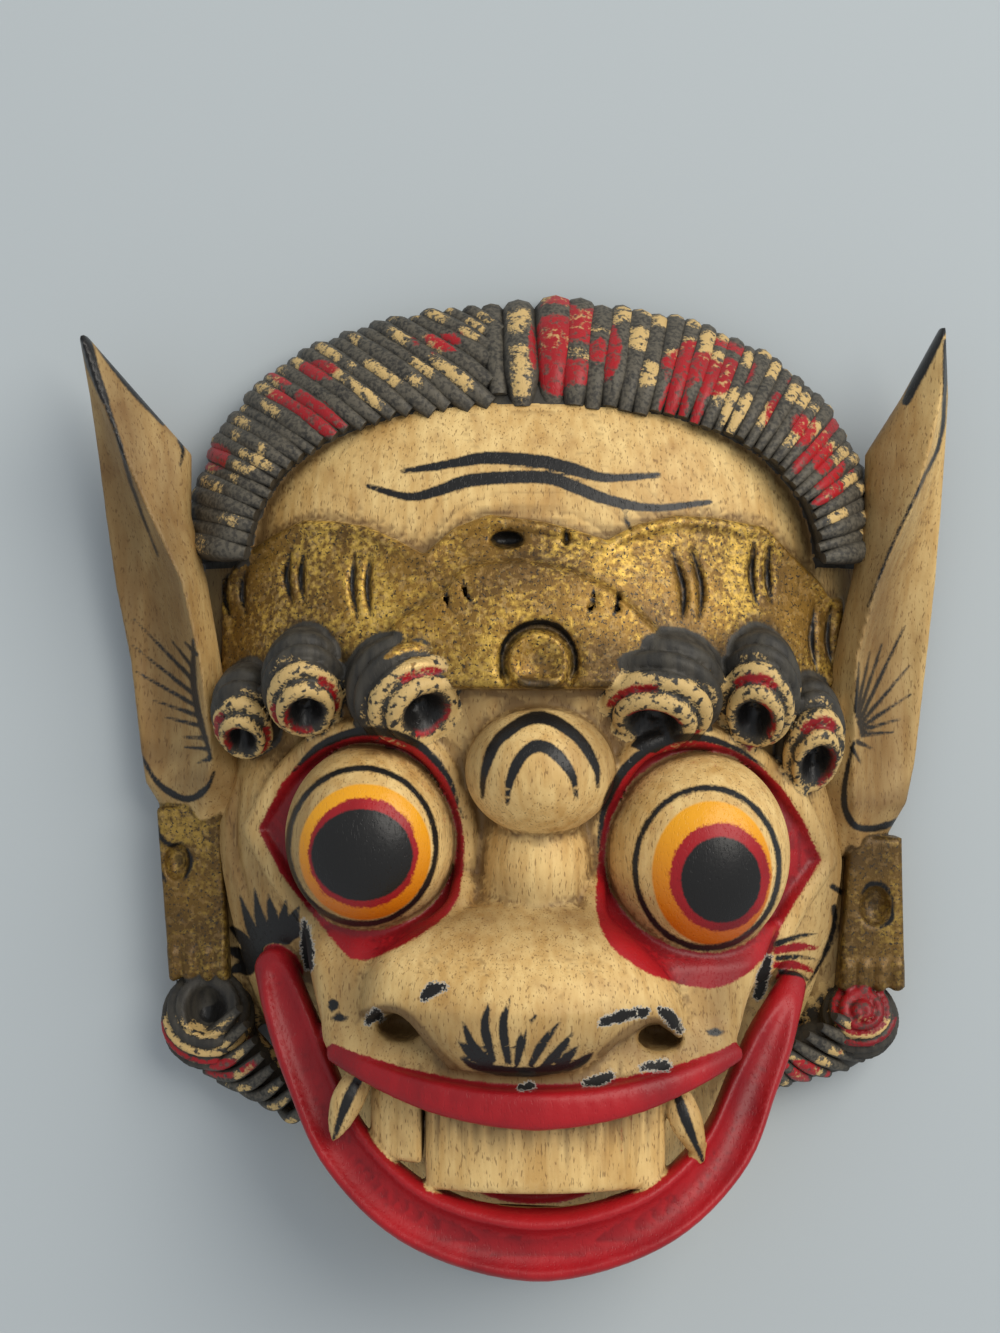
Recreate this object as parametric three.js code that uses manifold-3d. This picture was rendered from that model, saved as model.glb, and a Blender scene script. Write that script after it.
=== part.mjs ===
// A carved and painted wooden barong mask, in millimetres, lying on its back.
// +X points to the viewer's right, +Y to the crown and +Z out of the face; the back rim lies on z = 0.
// The mask is one block of wood: every carved form is joined to the block, then the back is hollowed.

import * as THREE from "three";
import { mergeVertices } from "three/addons/utils/BufferGeometryUtils.js";
import Module from "manifold-3d";

const wasm = await Module();
wasm.setup();

// The block: an egg-shaped outline, domed to the front
const FACE_X = 5;
const BLOCK_Y = 60;
const BLOCK = { halfWidth: 97, above: 79, below: 203, edge: 11, crown: 50 };
const CROWN_POWER = 2.5;
const JAW_POWER = 2.2;
const DOME_FULLNESS = 2.4;
const BELOW_RIM = -2;
const FACET_TOLERANCE = 0.15;
const WELD_DISTANCE = 1e-4;
const BED = { side: 400, depth: 100 };

// Broad swellings of the face, and those of the snout: each is a smooth bulge over an oval
const FACE_SWELLINGS = [
  { centre: [5, 33], radii: [96, 38], rise: 8 },
  { centre: [-72, -28], radii: [26, 42], rise: 12 },
  { centre: [83, -30], radii: [26, 42], rise: 12 },
  { centre: [5.5, -105], radii: [57, 40], rise: 26 },
];
const SNOUT = { centre: [5, -59], radii: [61, 39], rise: 30 };
const SNOUT_SWELLINGS = [
  ...FACE_SWELLINGS,
  SNOUT,
  { centre: [-27, -54], radii: [20, 18], rise: 8 },
  { centre: [31, -53.5], radii: [20, 18], rise: 8 },
  { centre: [2.5, -51], radii: [30, 25], rise: 17 },
];
const FACE_CENTRE = [5, -20];
const FACE_RINGS = 9;
const FACE_SIDES = 40;
const SNOUT_TIP = [2.5, -52];
const SNOUT_RINGS = 8;
const SNOUT_SIDES = 30;
const BRIDGE = { centre: [6, -20, 42], radii: [16, 25, 21], columns: 14, rows: 10 };

// The hollow that a face would sit in
const HOLLOW = { halfWidth: 82, above: 62, below: 170, edge: 5, crown: 33 };
const HOLLOW_SWELLINGS = [{ centre: [5, -74], radii: [46, 48], rise: 22 }];
const HOLLOW_RINGS = 7;
const HOLLOW_SIDES = 30;

// The crown of combed hair
const HAIR_INNER = { halfWidth: 82, above: 51 };
const HAIR_OUTER = { halfWidth: 100.5, above: 81 };
const HAIR_LOCKS = 40;
const HAIR_FIRST = THREE.MathUtils.degToRad(3);
const HAIR_LAST = THREE.MathUtils.degToRad(176);
const HAIR_PARTING = THREE.MathUtils.degToRad(94);
const HAIR_SWEEP_RIGHT = THREE.MathUtils.degToRad(7);
const HAIR_SWEEP_LEFT = THREE.MathUtils.degToRad(17);
const HAIR_INNER_Z = 38;
const HAIR_OUTER_Z = 13;
const HAIR_RELIEF = 1.7;
const HAIR_STEPS = [-0.1, 0.05, 0.55, 1];
const HAIR_CURVE = 1.7;

// The gold diadem over the forehead
const DIADEM_LEFT = -86;
const DIADEM_RIGHT = 96;
const DIADEM_COLUMNS = 34;
const DIADEM_THICKNESS = 4;
const DIADEM_DEPTH = 16;
const DIADEM_LOBES = [
  { x: -50, y: 78, reach: 36 },
  { x: 4, y: 76.5, reach: 19 },
  { x: 60, y: 77.5, reach: 36 },
];
const DIADEM_DIP = 17;
const DIADEM_BOTTOM = 34;
const DIADEM_GOUGES = [
  [-80, 58], [-61, 61], [-40, 60], [-15.5, 56], [26, 54], [47, 60], [70, 62], [86, 50],
];
const GOUGE = { gap: 1.9, halfWidth: 1.3, halfLength: 8, depth: 3 };
const DIADEM_DISC = { x: 6.2, y: 37, z: 62, sides: 20 };
const DISC_PROFILE = [[0, 3], [7.3, 3], [8.3, 1.2], [9.3, 3], [10.3, 2], [10.3, -9], [0, -9]];
const DIADEM_SLOT = { x: -2.5, y: 71, width: 9.5, height: 3.4, depth: 6 };

// Six curled eyebrow locks, three a side
const CURLS = [
  { centre: [-30.5, 29.5, 52], radii: [18, 15.5, 17], lean: 18 },
  { centre: [-57, 31, 45], radii: [13.5, 16, 17], lean: 0 },
  { centre: [-75.5, 21.5, 33], radii: [10, 14.5, 16], lean: -8 },
  { centre: [41, 29.5, 52], radii: [18, 15.5, 17], lean: -12 },
  { centre: [67.5, 30, 45], radii: [13, 16.5, 17], lean: 0 },
  { centre: [84.5, 17, 32], radii: [10.5, 16, 16], lean: 8 },
];
const CURL_TILT = THREE.MathUtils.degToRad(38);
const CURL_SIDES = 11;
const CURL_PROFILE = [
  [0, 0.35], [0.2, 0.38], [0.3, 0.96], [0.42, 1], [0.48, 0.84], [0.64, 0.84], [0.7, 0.66], [0.88, 0.56],
  [1, 0], [0, -1],
];

// The boss between the brows
const BOSS = { centre: [6.5, 7.5, 56], radii: [20.5, 17.5, 20], columns: 18, rows: 12 };

// Eyeballs in raised lids, the outer corner of each lid drawn to a point
const EYES = [
  {
    ball: { centre: [-42.3, -11.5, 43], radii: [22.5, 25, 25] },
    lid: { centre: [-41.8, -12, 38], radii: [27, 30, 1] },
    corner: [-73, -7, 28],
  },
  {
    ball: { centre: [49.6, -15.5, 43], radii: [23.5, 27.5, 25] },
    lid: { centre: [50.5, -18, 38], radii: [28, 34, 1] },
    corner: [86, -17.5, 28],
  },
];
const LID_PROFILE = [[0, 6], [0.78, 6], [0.85, 11], [0.95, 10], [1.05, -2], [0, -14]];
const LID_SIDES = 22;
const LID_CORNER = { halfWidth: 9, halfDepth: 12, steps: 6, sides: 8, endScale: 0.1 };
const LID_CORNER_BEND = 0.55;
const BALL_FACETS = { columns: 20, rows: 12 };

// Nostrils, dug under the wings of the snout
const NOSTRILS = [
  { centre: [-27, -64.5, 66], radii: [9.5, 6, 11], columns: 10, rows: 8 },
  { centre: [32, -64, 66], radii: [10, 6, 11], columns: 10, rows: 8 },
];

// The mouth: a recess, an upper lip that arches over it and upper teeth behind the lip
const MOUTH = { centre: [5.5, -99, 66], radii: [45, 19, 22], columns: 18, rows: 10 };
const LIP_HALF_WIDTH = 56;
const LIP_Y = -79.5;
const LIP_RISE = 11;
const LIP_Z = 76;
const LIP_FALL = 24;
const LIP_STATIONS = [-1, -0.6, -0.25, 0, 0.25, 0.6, 1];
const LIP = { halfWidth: 5.6, halfDepth: 6, steps: 16, sides: 8, endScale: 0.35 };
const TEETH = [
  { left: -40.5, right: -26, bottom: -97.5 },
  { left: -25, right: 40.5, bottom: -102 },
];
const TEETH_TOP = -78;
const TEETH_Z = 71;
const TEETH_FALL = 21;
const TEETH_DEPTH = 18;
const TEETH_FACETS = 6;
const FANGS = [
  [[-41, -73, 56], [-46, -82, 60], [-50, -93.5, 59]],
  [[43, -78, 58], [46, -87, 61], [51, -99, 59]],
];
const FANG = { halfWidth: 3.2, halfDepth: 3.2, steps: 5, sides: 6, endScale: 0.25 };

// The lower lip: a band that climbs the cheeks on both sides of the mouth
const BAND_PATH = [
  [-68, -43, 33], [-64, -57, 41], [-57.5, -77, 47], [-46, -97, 54], [-25, -113, 61], [6, -120, 63],
  [36, -113, 61], [56, -98, 54], [66, -80, 47], [73, -66, 41], [79, -54, 33],
];
const BAND = { halfWidth: 7, halfDepth: 7, steps: 20, sides: 8, endScale: 0.35 };

// Ridges from the cheeks down to the corners of the upper lip
const CORNER_RIDGES = [
  [[-61, -28, 38], [-56, -48, 50], [-49, -67, 56]],
  [[74, -40, 38], [65, -58, 50], [57, -71, 56]],
];
const CORNER_RIDGE = { halfWidth: 6, halfDepth: 6, steps: 5, sides: 7, endScale: 0.3 };

// Ears in sections from the lobe up to the tip: outer edge, bottom of the scoop, front ridge, inner edge
const EAR_LEFT = [
  [[-103, -8, 12], [-98, -8, 19], [-92, -8, 20], [-82, -8, 18]],
  [[-109.5, 2, 16], [-100, 2, 19], [-89, 3, 27], [-80, 3, 22]],
  [[-110, 12, 16], [-101, 12, 13], [-88, 14, 31], [-79, 14, 24]],
  [[-113.5, 38, 16], [-104, 38, 13], [-91, 40, 35], [-80, 40, 26]],
  [[-117.5, 60, 18], [-110, 60, 15], [-98, 62, 38], [-84, 62, 26]],
  [[-119.8, 80, 21], [-116, 80, 18], [-108, 82, 38], [-88, 82, 22]],
  [[-121.3, 98, 25], [-119, 98, 23], [-114, 100, 36], [-96.5, 100, 22]],
  [[-122.5, 114, 29], [-121, 114, 28], [-118, 115, 35], [-108.5, 115, 27]],
  [[-124.9, 128.5, 33], [-124, 129, 33.5], [-123, 129.5, 35], [-121, 128.5, 33.5]],
];
const EAR_RIGHT = [
  [[108, -17, 12], [104, -16, 19], [100, -15, 20], [90, -15, 18]],
  [[116, -4, 16], [107, -3, 19], [98, -2, 27], [89, -2, 22]],
  [[118, 8, 16], [109, 8, 13], [97, 10, 31], [88, 10, 24]],
  [[121.5, 38, 16], [112, 38, 13], [98, 40, 35], [88, 40, 26]],
  [[123.5, 60, 18], [116, 60, 15], [103.5, 62, 38], [90, 62, 26]],
  [[124.5, 80, 21], [120, 80, 18], [113, 82, 38], [94, 82, 22]],
  [[124.8, 98, 25], [122.8, 98, 23], [119.5, 100, 36], [102, 100, 22]],
  [[124.9, 114, 29], [123.7, 114, 28], [121.8, 115, 35], [112, 115, 27]],
  [[123.6, 130.5, 33], [123, 131, 33.5], [122.2, 131.5, 35], [120.6, 130.5, 33.5]],
];
const EAR_THICKNESS = 5;
const EAR_THINNING_WIDTH = 15;

// Flat ornaments hanging under the ears
const ORNAMENTS = [
  { x: -94.5, top: -5, bottom: -55.5, dent: [-99, -21], dentRadii: [3.6, 5.6] },
  { x: 105.5, top: -14, bottom: -58.5, dent: [105.2, -34], dentRadii: [4.8, 6.6] },
];
const ORNAMENT_HALF_WIDTH = 10.2;
const ORNAMENT_TOP_SHARE = 0.6;
const ORNAMENT_Z = 7.5;
const ORNAMENT_DEPTH = 11;
const ORNAMENT_BEVEL = 1.2;
const ORNAMENT_FLUTES = 4;
const ORNAMENT_FLUTE_DEPTH = 1.5;
const DENT_DEPTH = 4;
const DENT_FACETS = { columns: 12, rows: 8 };

// Side locks: a curl under each ornament and strands that sweep from it down the jaw
const SIDE_CURLS = [
  { centre: [-90, -64, 14], radii: [12.5, 12, 11] },
  { centre: [100, -66, 14], radii: [13, 12, 11] },
];
const STRANDS = [
  { from: [-84, -52], to: [-56, -90], across: [-12, -17] },
  { from: [95, -56], to: [66, -82], across: [11, -15] },
];
const STRAND_COUNT = 5;
const STRAND = { halfWidth: 4, halfDepth: 4, steps: 5, sides: 6, endScale: 0.4 };
const STRAND_Z = 25;
const STRAND_DROP = 10;
const STRAND_ROOT_DIP = 3;

const vector = (point) => new THREE.Vector3(...point);

// A closed solid from a three.js geometry, with its faces turned outward
function solid(geometry) {
  const bare = geometry.clone();
  bare.deleteAttribute("normal");
  bare.deleteAttribute("uv");
  const merged = mergeVertices(bare, WELD_DISTANCE);
  const position = merged.attributes.position;
  const corners = merged.index.array;
  const cornerAt = (corner) => new THREE.Vector3().fromBufferAttribute(position, corner);
  const triangles = [];
  let volume = 0;
  for (let k = 0; k < corners.length; k += 3) {
    const [a, b, c] = corners.slice(k, k + 3);
    if (a !== b && b !== c && c !== a) {
      triangles.push([a, b, c]);
      const [first, second, third] = [a, b, c].map(cornerAt);
      volume += first.dot(second.cross(third));
    }
  }
  const outward = triangles.map(([a, b, c]) => (volume > 0 ? [a, b, c] : [a, c, b]));
  return new wasm.Manifold(new wasm.Mesh({
    numProp: 3,
    vertProperties: Float32Array.from(position.array),
    triVerts: Uint32Array.from(outward.flat()),
  }));
}

// Rings of points joined in order and capped at both ends
function loft(rings) {
  const count = rings[0].length;
  const points = rings.flat();
  const index = [];
  for (let row = 0; row + 1 < rings.length; row += 1) {
    for (let k = 0; k < count; k += 1) {
      const a = row * count + k;
      const b = row * count + ((k + 1) % count);
      index.push(a, b, a + count, b, b + count, a + count);
    }
  }
  for (const ring of [rings[0], rings.at(-1)]) {
    const middle = ring.reduce((sum, point) => sum.add(point), new THREE.Vector3()).divideScalar(count);
    const start = ring === rings[0] ? 0 : (rings.length - 1) * count;
    points.push(middle);
    for (let k = 0; k < count; k += 1) {
      const edge = [start + k, start + ((k + 1) % count)];
      index.push(...(start === 0 ? edge.reverse() : edge), points.length - 1);
    }
  }
  const geometry = new THREE.BufferGeometry().setFromPoints(points);
  geometry.setIndex(index);
  return solid(geometry);
}

// A rounded bar along a smooth path, thinning to both ends
function bar(path, { halfWidth, halfDepth, steps, sides, endScale }) {
  const curve = new THREE.CatmullRomCurve3(path.map(vector));
  const rings = [];
  for (let step = 0; step <= steps; step += 1) {
    const along = step / steps;
    const centre = curve.getPoint(along);
    const forward = curve.getTangent(along);
    const side = new THREE.Vector3().crossVectors(forward, new THREE.Vector3(0, 0, 1)).normalize();
    const lift = new THREE.Vector3().crossVectors(side, forward);
    const swell = endScale + (1 - endScale) * Math.sqrt(Math.sin(Math.PI * along));
    const ring = [];
    for (let k = 0; k < sides; k += 1) {
      const angle = (2 * Math.PI * k) / sides;
      const point = centre.clone();
      point.addScaledVector(side, Math.cos(angle) * halfWidth * swell);
      point.addScaledVector(lift, Math.sin(angle) * halfDepth * swell);
      ring.push(point);
    }
    rings.push(ring);
  }
  return loft(rings);
}

// An ellipsoid with its poles on Z
function ellipsoid({ centre, radii, columns, rows }) {
  const ball = new THREE.SphereGeometry(1, columns, rows);
  return solid(ball.rotateX(Math.PI / 2).scale(...radii).translate(...centre));
}

// A profile of radius and height, turned about Z
function turned(profile, sides) {
  const points = profile.map(([radius, height]) => new THREE.Vector2(radius, height));
  return new THREE.LatheGeometry(points, sides).rotateX(Math.PI / 2);
}

function joined(solids) {
  return wasm.Manifold.union(solids);
}

// A point of an egg outline at an angle from +X, measured from the middle of the egg
function eggPoint(angle, { halfWidth, above, below }) {
  const upper = Math.sin(angle) > 0;
  const power = 2 / (upper ? CROWN_POWER : JAW_POWER);
  const across = Math.sign(Math.cos(angle)) * Math.abs(Math.cos(angle)) ** power * halfWidth;
  const along = Math.sign(Math.sin(angle)) * Math.abs(Math.sin(angle)) ** power * (upper ? above : below);
  return new THREE.Vector2(FACE_X + across, BLOCK_Y + along);
}

// The height of an egg-shaped dome over a point of its plan
function domeHeight(x, y, egg) {
  const upper = y > BLOCK_Y;
  const power = upper ? CROWN_POWER : JAW_POWER;
  const across = Math.abs(x - FACE_X) / egg.halfWidth;
  const along = Math.abs(y - BLOCK_Y) / (upper ? egg.above : egg.below);
  const reach = Math.min(1, (across ** power + along ** power) ** (1 / power));
  return egg.edge + (egg.crown - egg.edge) * (1 - reach ** DOME_FULLNESS);
}

function swollenHeight(x, y, egg, swellings) {
  const lifts = swellings.map(({ centre, radii, rise }) => {
    const inside = 1 - ((x - centre[0]) / radii[0]) ** 2 - ((y - centre[1]) / radii[1]) ** 2;
    return rise * Math.max(0, inside);
  });
  return lifts.reduce((height, lift) => height + lift, domeHeight(x, y, egg));
}

const faceHeight = (x, y) => swollenHeight(x, y, BLOCK, FACE_SWELLINGS);
const snoutHeight = (x, y) => swollenHeight(x, y, BLOCK, SNOUT_SWELLINGS);
const hollowHeight = (x, y) => swollenHeight(x, y, HOLLOW, HOLLOW_SWELLINGS);

function eggOutline(egg, sides) {
  return Array.from({ length: sides }, (_, k) => eggPoint((2 * Math.PI * (k + 0.5)) / sides, egg));
}

function ovalOutline({ centre, radii }, sides) {
  return new THREE.EllipseCurve(...centre, ...radii, 0, 2 * Math.PI).getPoints(sides).slice(0, sides);
}

// A relief over an outline: rings spread from a centre out to the edge, then drop past the rim
function relief(outline, heightAt, centre, rings) {
  const middle = new THREE.Vector2(...centre);
  const layers = Array.from({ length: rings }, (_, ring) => outline.map((edge) => {
    const point = middle.clone().lerp(edge, (ring + 1) / rings);
    return new THREE.Vector3(point.x, point.y, heightAt(point.x, point.y));
  }));
  layers.push(outline.map((edge) => new THREE.Vector3(edge.x, edge.y, BELOW_RIM)));
  return loft(layers);
}

// Locks fan out from the parting: crests and grooves alternate along the crown
function hairCrown() {
  const columns = 2 * HAIR_LOCKS;
  const rings = [];
  for (let column = 0; column <= columns; column += 1) {
    const angle = THREE.MathUtils.lerp(HAIR_FIRST, HAIR_LAST, column / columns);
    const right = angle < HAIR_PARTING;
    const span = right ? HAIR_PARTING - HAIR_FIRST : HAIR_LAST - HAIR_PARTING;
    const bend = Math.sin((Math.PI * Math.abs(angle - HAIR_PARTING)) / span);
    const sweep = right ? -HAIR_SWEEP_RIGHT * bend : HAIR_SWEEP_LEFT * bend;
    const inner = eggPoint(angle, HAIR_INNER);
    const outer = eggPoint(angle + sweep, HAIR_OUTER);
    const crest = column % 2 === 1 ? HAIR_RELIEF : 0;
    const ring = HAIR_STEPS.map((step) => {
      const point = inner.clone().lerp(outer, step);
      const fall = Math.max(step, 0) ** HAIR_CURVE;
      const height = crest + THREE.MathUtils.lerp(HAIR_INNER_Z, HAIR_OUTER_Z, fall);
      return new THREE.Vector3(point.x, point.y, height);
    });
    const outward = outer.clone().sub(inner).setLength(crest);
    ring.at(-1).add(new THREE.Vector3(outward.x, outward.y, 0));
    rings.push([...ring, ring.at(-1).clone().setZ(BELOW_RIM), ring[0].clone().setZ(BELOW_RIM)]);
  }
  return loft(rings);
}

// The scalloped band, its double gouges, its slot and the ringed disc in its middle
function diadem() {
  const front = (x, y) => faceHeight(x, y) + DIADEM_THICKNESS;
  const rings = [];
  for (let column = 0; column <= DIADEM_COLUMNS; column += 1) {
    const x = THREE.MathUtils.lerp(DIADEM_LEFT, DIADEM_RIGHT, column / DIADEM_COLUMNS);
    const crests = DIADEM_LOBES.map((lobe) => lobe.y - DIADEM_DIP * ((x - lobe.x) / lobe.reach) ** 2);
    const top = Math.max(...crests);
    const middle = (top + DIADEM_BOTTOM) / 2;
    const behind = front(x, middle) - DIADEM_DEPTH;
    rings.push([
      new THREE.Vector3(x, top, behind),
      new THREE.Vector3(x, top, front(x, top)),
      new THREE.Vector3(x, middle, front(x, middle)),
      new THREE.Vector3(x, DIADEM_BOTTOM, front(x, DIADEM_BOTTOM)),
      new THREE.Vector3(x, DIADEM_BOTTOM, behind),
    ]);
  }
  const cuts = DIADEM_GOUGES.flatMap(([x, y]) => [-1, 1].map((side) => {
    const chisel = new THREE.OctahedronGeometry(1).scale(GOUGE.halfWidth, GOUGE.halfLength, GOUGE.depth);
    return solid(chisel.translate(x + side * GOUGE.gap, y, front(x, y)));
  }));
  const slot = new THREE.BoxGeometry(DIADEM_SLOT.width, DIADEM_SLOT.height, DIADEM_SLOT.depth);
  cuts.push(solid(slot.translate(DIADEM_SLOT.x, DIADEM_SLOT.y, front(DIADEM_SLOT.x, DIADEM_SLOT.y))));
  const disc = turned(DISC_PROFILE, DIADEM_DISC.sides);
  const band = loft(rings).subtract(joined(cuts));
  return band.add(solid(disc.translate(DIADEM_DISC.x, DIADEM_DISC.y, DIADEM_DISC.z)));
}

function browCurl({ centre, radii, lean }) {
  const curl = turned(CURL_PROFILE, CURL_SIDES).rotateX(CURL_TILT);
  return solid(curl.rotateZ(THREE.MathUtils.degToRad(lean)).scale(...radii).translate(...centre));
}

function eye({ ball, lid, corner }) {
  const ring = turned(LID_PROFILE, LID_SIDES).scale(...lid.radii).translate(...lid.centre);
  const inward = vector(lid.centre).lerp(vector(corner), LID_CORNER_BEND).toArray();
  const point = bar([lid.centre, inward, corner], LID_CORNER);
  return joined([solid(ring), point, ellipsoid({ ...ball, ...BALL_FACETS })]);
}

function upperLip() {
  const path = LIP_STATIONS.map((across) => {
    const bow = across ** 2;
    return [FACE_X + across * LIP_HALF_WIDTH, LIP_Y + LIP_RISE * bow, LIP_Z - LIP_FALL * bow];
  });
  return bar(path, LIP);
}

// A run of teeth: its plan is curved to the lip and its sides are upright
function teeth({ left, right, bottom }) {
  const front = (x) => TEETH_Z - TEETH_FALL * ((x - FACE_X) / LIP_HALF_WIDTH) ** 2;
  const plan = new THREE.Shape();
  plan.moveTo(left, front(left) - TEETH_DEPTH);
  for (let facet = 0; facet <= TEETH_FACETS; facet += 1) {
    const x = THREE.MathUtils.lerp(left, right, facet / TEETH_FACETS);
    plan.lineTo(x, front(x));
  }
  plan.lineTo(right, front(right) - TEETH_DEPTH);
  const run = new THREE.ExtrudeGeometry(plan, { depth: TEETH_TOP - bottom, bevelEnabled: false });
  return solid(run.rotateX(Math.PI / 2).translate(0, TEETH_TOP, 0));
}

// A scooped blade: each section runs over the front from edge to edge and back round behind
function ear(sections) {
  const rings = sections.map((section) => {
    const [edge, , ridge, inner] = section;
    const thickness = EAR_THICKNESS * Math.min(1, Math.abs(inner[0] - edge[0]) / EAR_THINNING_WIDTH);
    const behind = [inner, ridge, edge].map(([x, y, z]) => [x, y, z - thickness]);
    behind[1][2] -= thickness;
    return [...section, ...behind].map(vector);
  });
  return loft(rings);
}

function ornament({ x, top, bottom, dent, dentRadii }) {
  const half = ORNAMENT_HALF_WIDTH - ORNAMENT_BEVEL;
  const flute = (2 * half) / ORNAMENT_FLUTES;
  const outline = new THREE.Shape();
  outline.moveTo(x - half * ORNAMENT_TOP_SHARE, top);
  outline.lineTo(x - half, bottom);
  for (let k = 0; k < ORNAMENT_FLUTES; k += 1) {
    outline.lineTo(x - half + flute * (k + 0.5), bottom - ORNAMENT_FLUTE_DEPTH);
    outline.lineTo(x - half + flute * (k + 1), bottom);
  }
  outline.lineTo(x + half * ORNAMENT_TOP_SHARE, top);
  const slab = new THREE.ExtrudeGeometry(outline, {
    depth: ORNAMENT_DEPTH, bevelSize: ORNAMENT_BEVEL, bevelThickness: ORNAMENT_BEVEL, bevelSegments: 1,
  });
  const front = ORNAMENT_Z + ORNAMENT_DEPTH + ORNAMENT_BEVEL;
  const pit = ellipsoid({ centre: [...dent, front], radii: [...dentRadii, DENT_DEPTH], ...DENT_FACETS });
  return solid(slab.translate(0, 0, ORNAMENT_Z)).subtract(pit);
}

function strands({ from, to, across }) {
  return Array.from({ length: STRAND_COUNT }, (_, k) => {
    const slide = k / (STRAND_COUNT - 1) - 0.5;
    const z = STRAND_Z - STRAND_DROP * (slide + 0.5);
    const start = [from[0] + across[0] * slide, from[1] + across[1] * slide, z - STRAND_ROOT_DIP];
    const end = [to[0] + across[0] * slide, to[1] + across[1] * slide, z];
    const middle = [(start[0] + end[0] + across[0] / 2) / 2, (start[1] + end[1] + across[1] / 2) / 2, z];
    return bar([start, middle, end], STRAND);
  });
}

function sideCurl({ centre, radii }) {
  return solid(turned(CURL_PROFILE, CURL_SIDES).scale(...radii).translate(...centre));
}

// The front: the face with its recesses, then every form that stands on it
const face = relief(eggOutline(BLOCK, FACE_SIDES), faceHeight, FACE_CENTRE, FACE_RINGS);
const snout = relief(ovalOutline(SNOUT, SNOUT_SIDES), snoutHeight, SNOUT_TIP, SNOUT_RINGS);
const recesses = [MOUTH, ...NOSTRILS].map(ellipsoid);
const front = joined([
  joined([face, snout]).subtract(joined(recesses)), ellipsoid(BRIDGE), ellipsoid(BOSS),
  hairCrown(), diadem(), ...CURLS.map(browCurl), ...EYES.map(eye), upperLip(), ...TEETH.map(teeth),
  ...FANGS.map((path) => bar(path, FANG)), bar(BAND_PATH, BAND),
  ...CORNER_RIDGES.map((path) => bar(path, CORNER_RIDGE)),
  ear(EAR_LEFT), ear(EAR_RIGHT), ...ORNAMENTS.map(ornament),
  ...SIDE_CURLS.map(sideCurl), ...STRANDS.flatMap(strands),
]);

// The back: the hollow is dug out and the rim is cut flat
const hollow = relief(eggOutline(HOLLOW, HOLLOW_SIDES), hollowHeight, FACE_CENTRE, HOLLOW_RINGS);
const bed = new THREE.BoxGeometry(BED.side, BED.side, BED.depth).translate(0, 0, -BED.depth / 2);
const carved = front.subtract(hollow).subtract(solid(bed)).asOriginal().simplify(FACET_TOLERANCE);

const mesh = carved.getMesh();
const geometry = new THREE.BufferGeometry();
geometry.setAttribute("position", new THREE.BufferAttribute(mesh.vertProperties, 3));
geometry.setIndex(new THREE.BufferAttribute(mesh.triVerts, 1));
const mask = new THREE.Mesh(geometry, new THREE.MeshStandardMaterial({
  color: 0xb9925a, roughness: 0.6, metalness: 0,
}));
mask.name = "mask";

const group = new THREE.Group();
group.add(mask);
export default group;
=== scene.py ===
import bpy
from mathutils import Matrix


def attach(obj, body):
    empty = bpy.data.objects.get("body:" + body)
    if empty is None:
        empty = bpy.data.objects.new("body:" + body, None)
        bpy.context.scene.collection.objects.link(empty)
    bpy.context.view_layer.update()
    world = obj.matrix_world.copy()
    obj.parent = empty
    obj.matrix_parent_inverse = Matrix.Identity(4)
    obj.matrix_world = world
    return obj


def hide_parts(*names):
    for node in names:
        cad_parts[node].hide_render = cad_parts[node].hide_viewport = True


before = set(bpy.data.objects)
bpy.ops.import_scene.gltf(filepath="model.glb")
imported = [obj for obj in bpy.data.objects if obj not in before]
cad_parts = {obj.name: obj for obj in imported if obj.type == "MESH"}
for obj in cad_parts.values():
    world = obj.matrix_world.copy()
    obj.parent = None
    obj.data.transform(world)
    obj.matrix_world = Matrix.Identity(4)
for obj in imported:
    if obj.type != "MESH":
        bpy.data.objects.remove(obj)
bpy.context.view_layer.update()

from functools import partial
import bpy
import numpy as np
from mathutils import Vector

# The viewer: a camera straight above the mask, which lies on its back.
# Paint is laid out in view units: 1000 across and 1333 down the picture that this camera takes.
EYE = (-0.00445, 0.0361, 0.600)
VIEW_WIDTH = 1000
VIEW_HEIGHT = 1333
FOCAL_UNITS = 1988
UNIT = 0.00027
camera = bpy.data.objects.new("camera", bpy.data.cameras.new("camera"))
camera.data.sensor_fit = "VERTICAL"
camera.data.sensor_height = 36
camera.data.lens = camera.data.sensor_height * FOCAL_UNITS / VIEW_HEIGHT
camera.location = EYE
bpy.context.scene.collection.objects.link(camera)
bpy.context.scene.camera = camera


def on_view(x, y, z):
    depth = (EYE[2] - z) / FOCAL_UNITS
    return VIEW_WIDTH / 2 + (x - EYE[0]) / depth, VIEW_HEIGHT / 2 - (y - EYE[1]) / depth


def from_view(across, down, z):
    depth = (EYE[2] - z) / FOCAL_UNITS
    return EYE[0] + (across - VIEW_WIDTH / 2) * depth, EYE[1] - (down - VIEW_HEIGHT / 2) * depth


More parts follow.
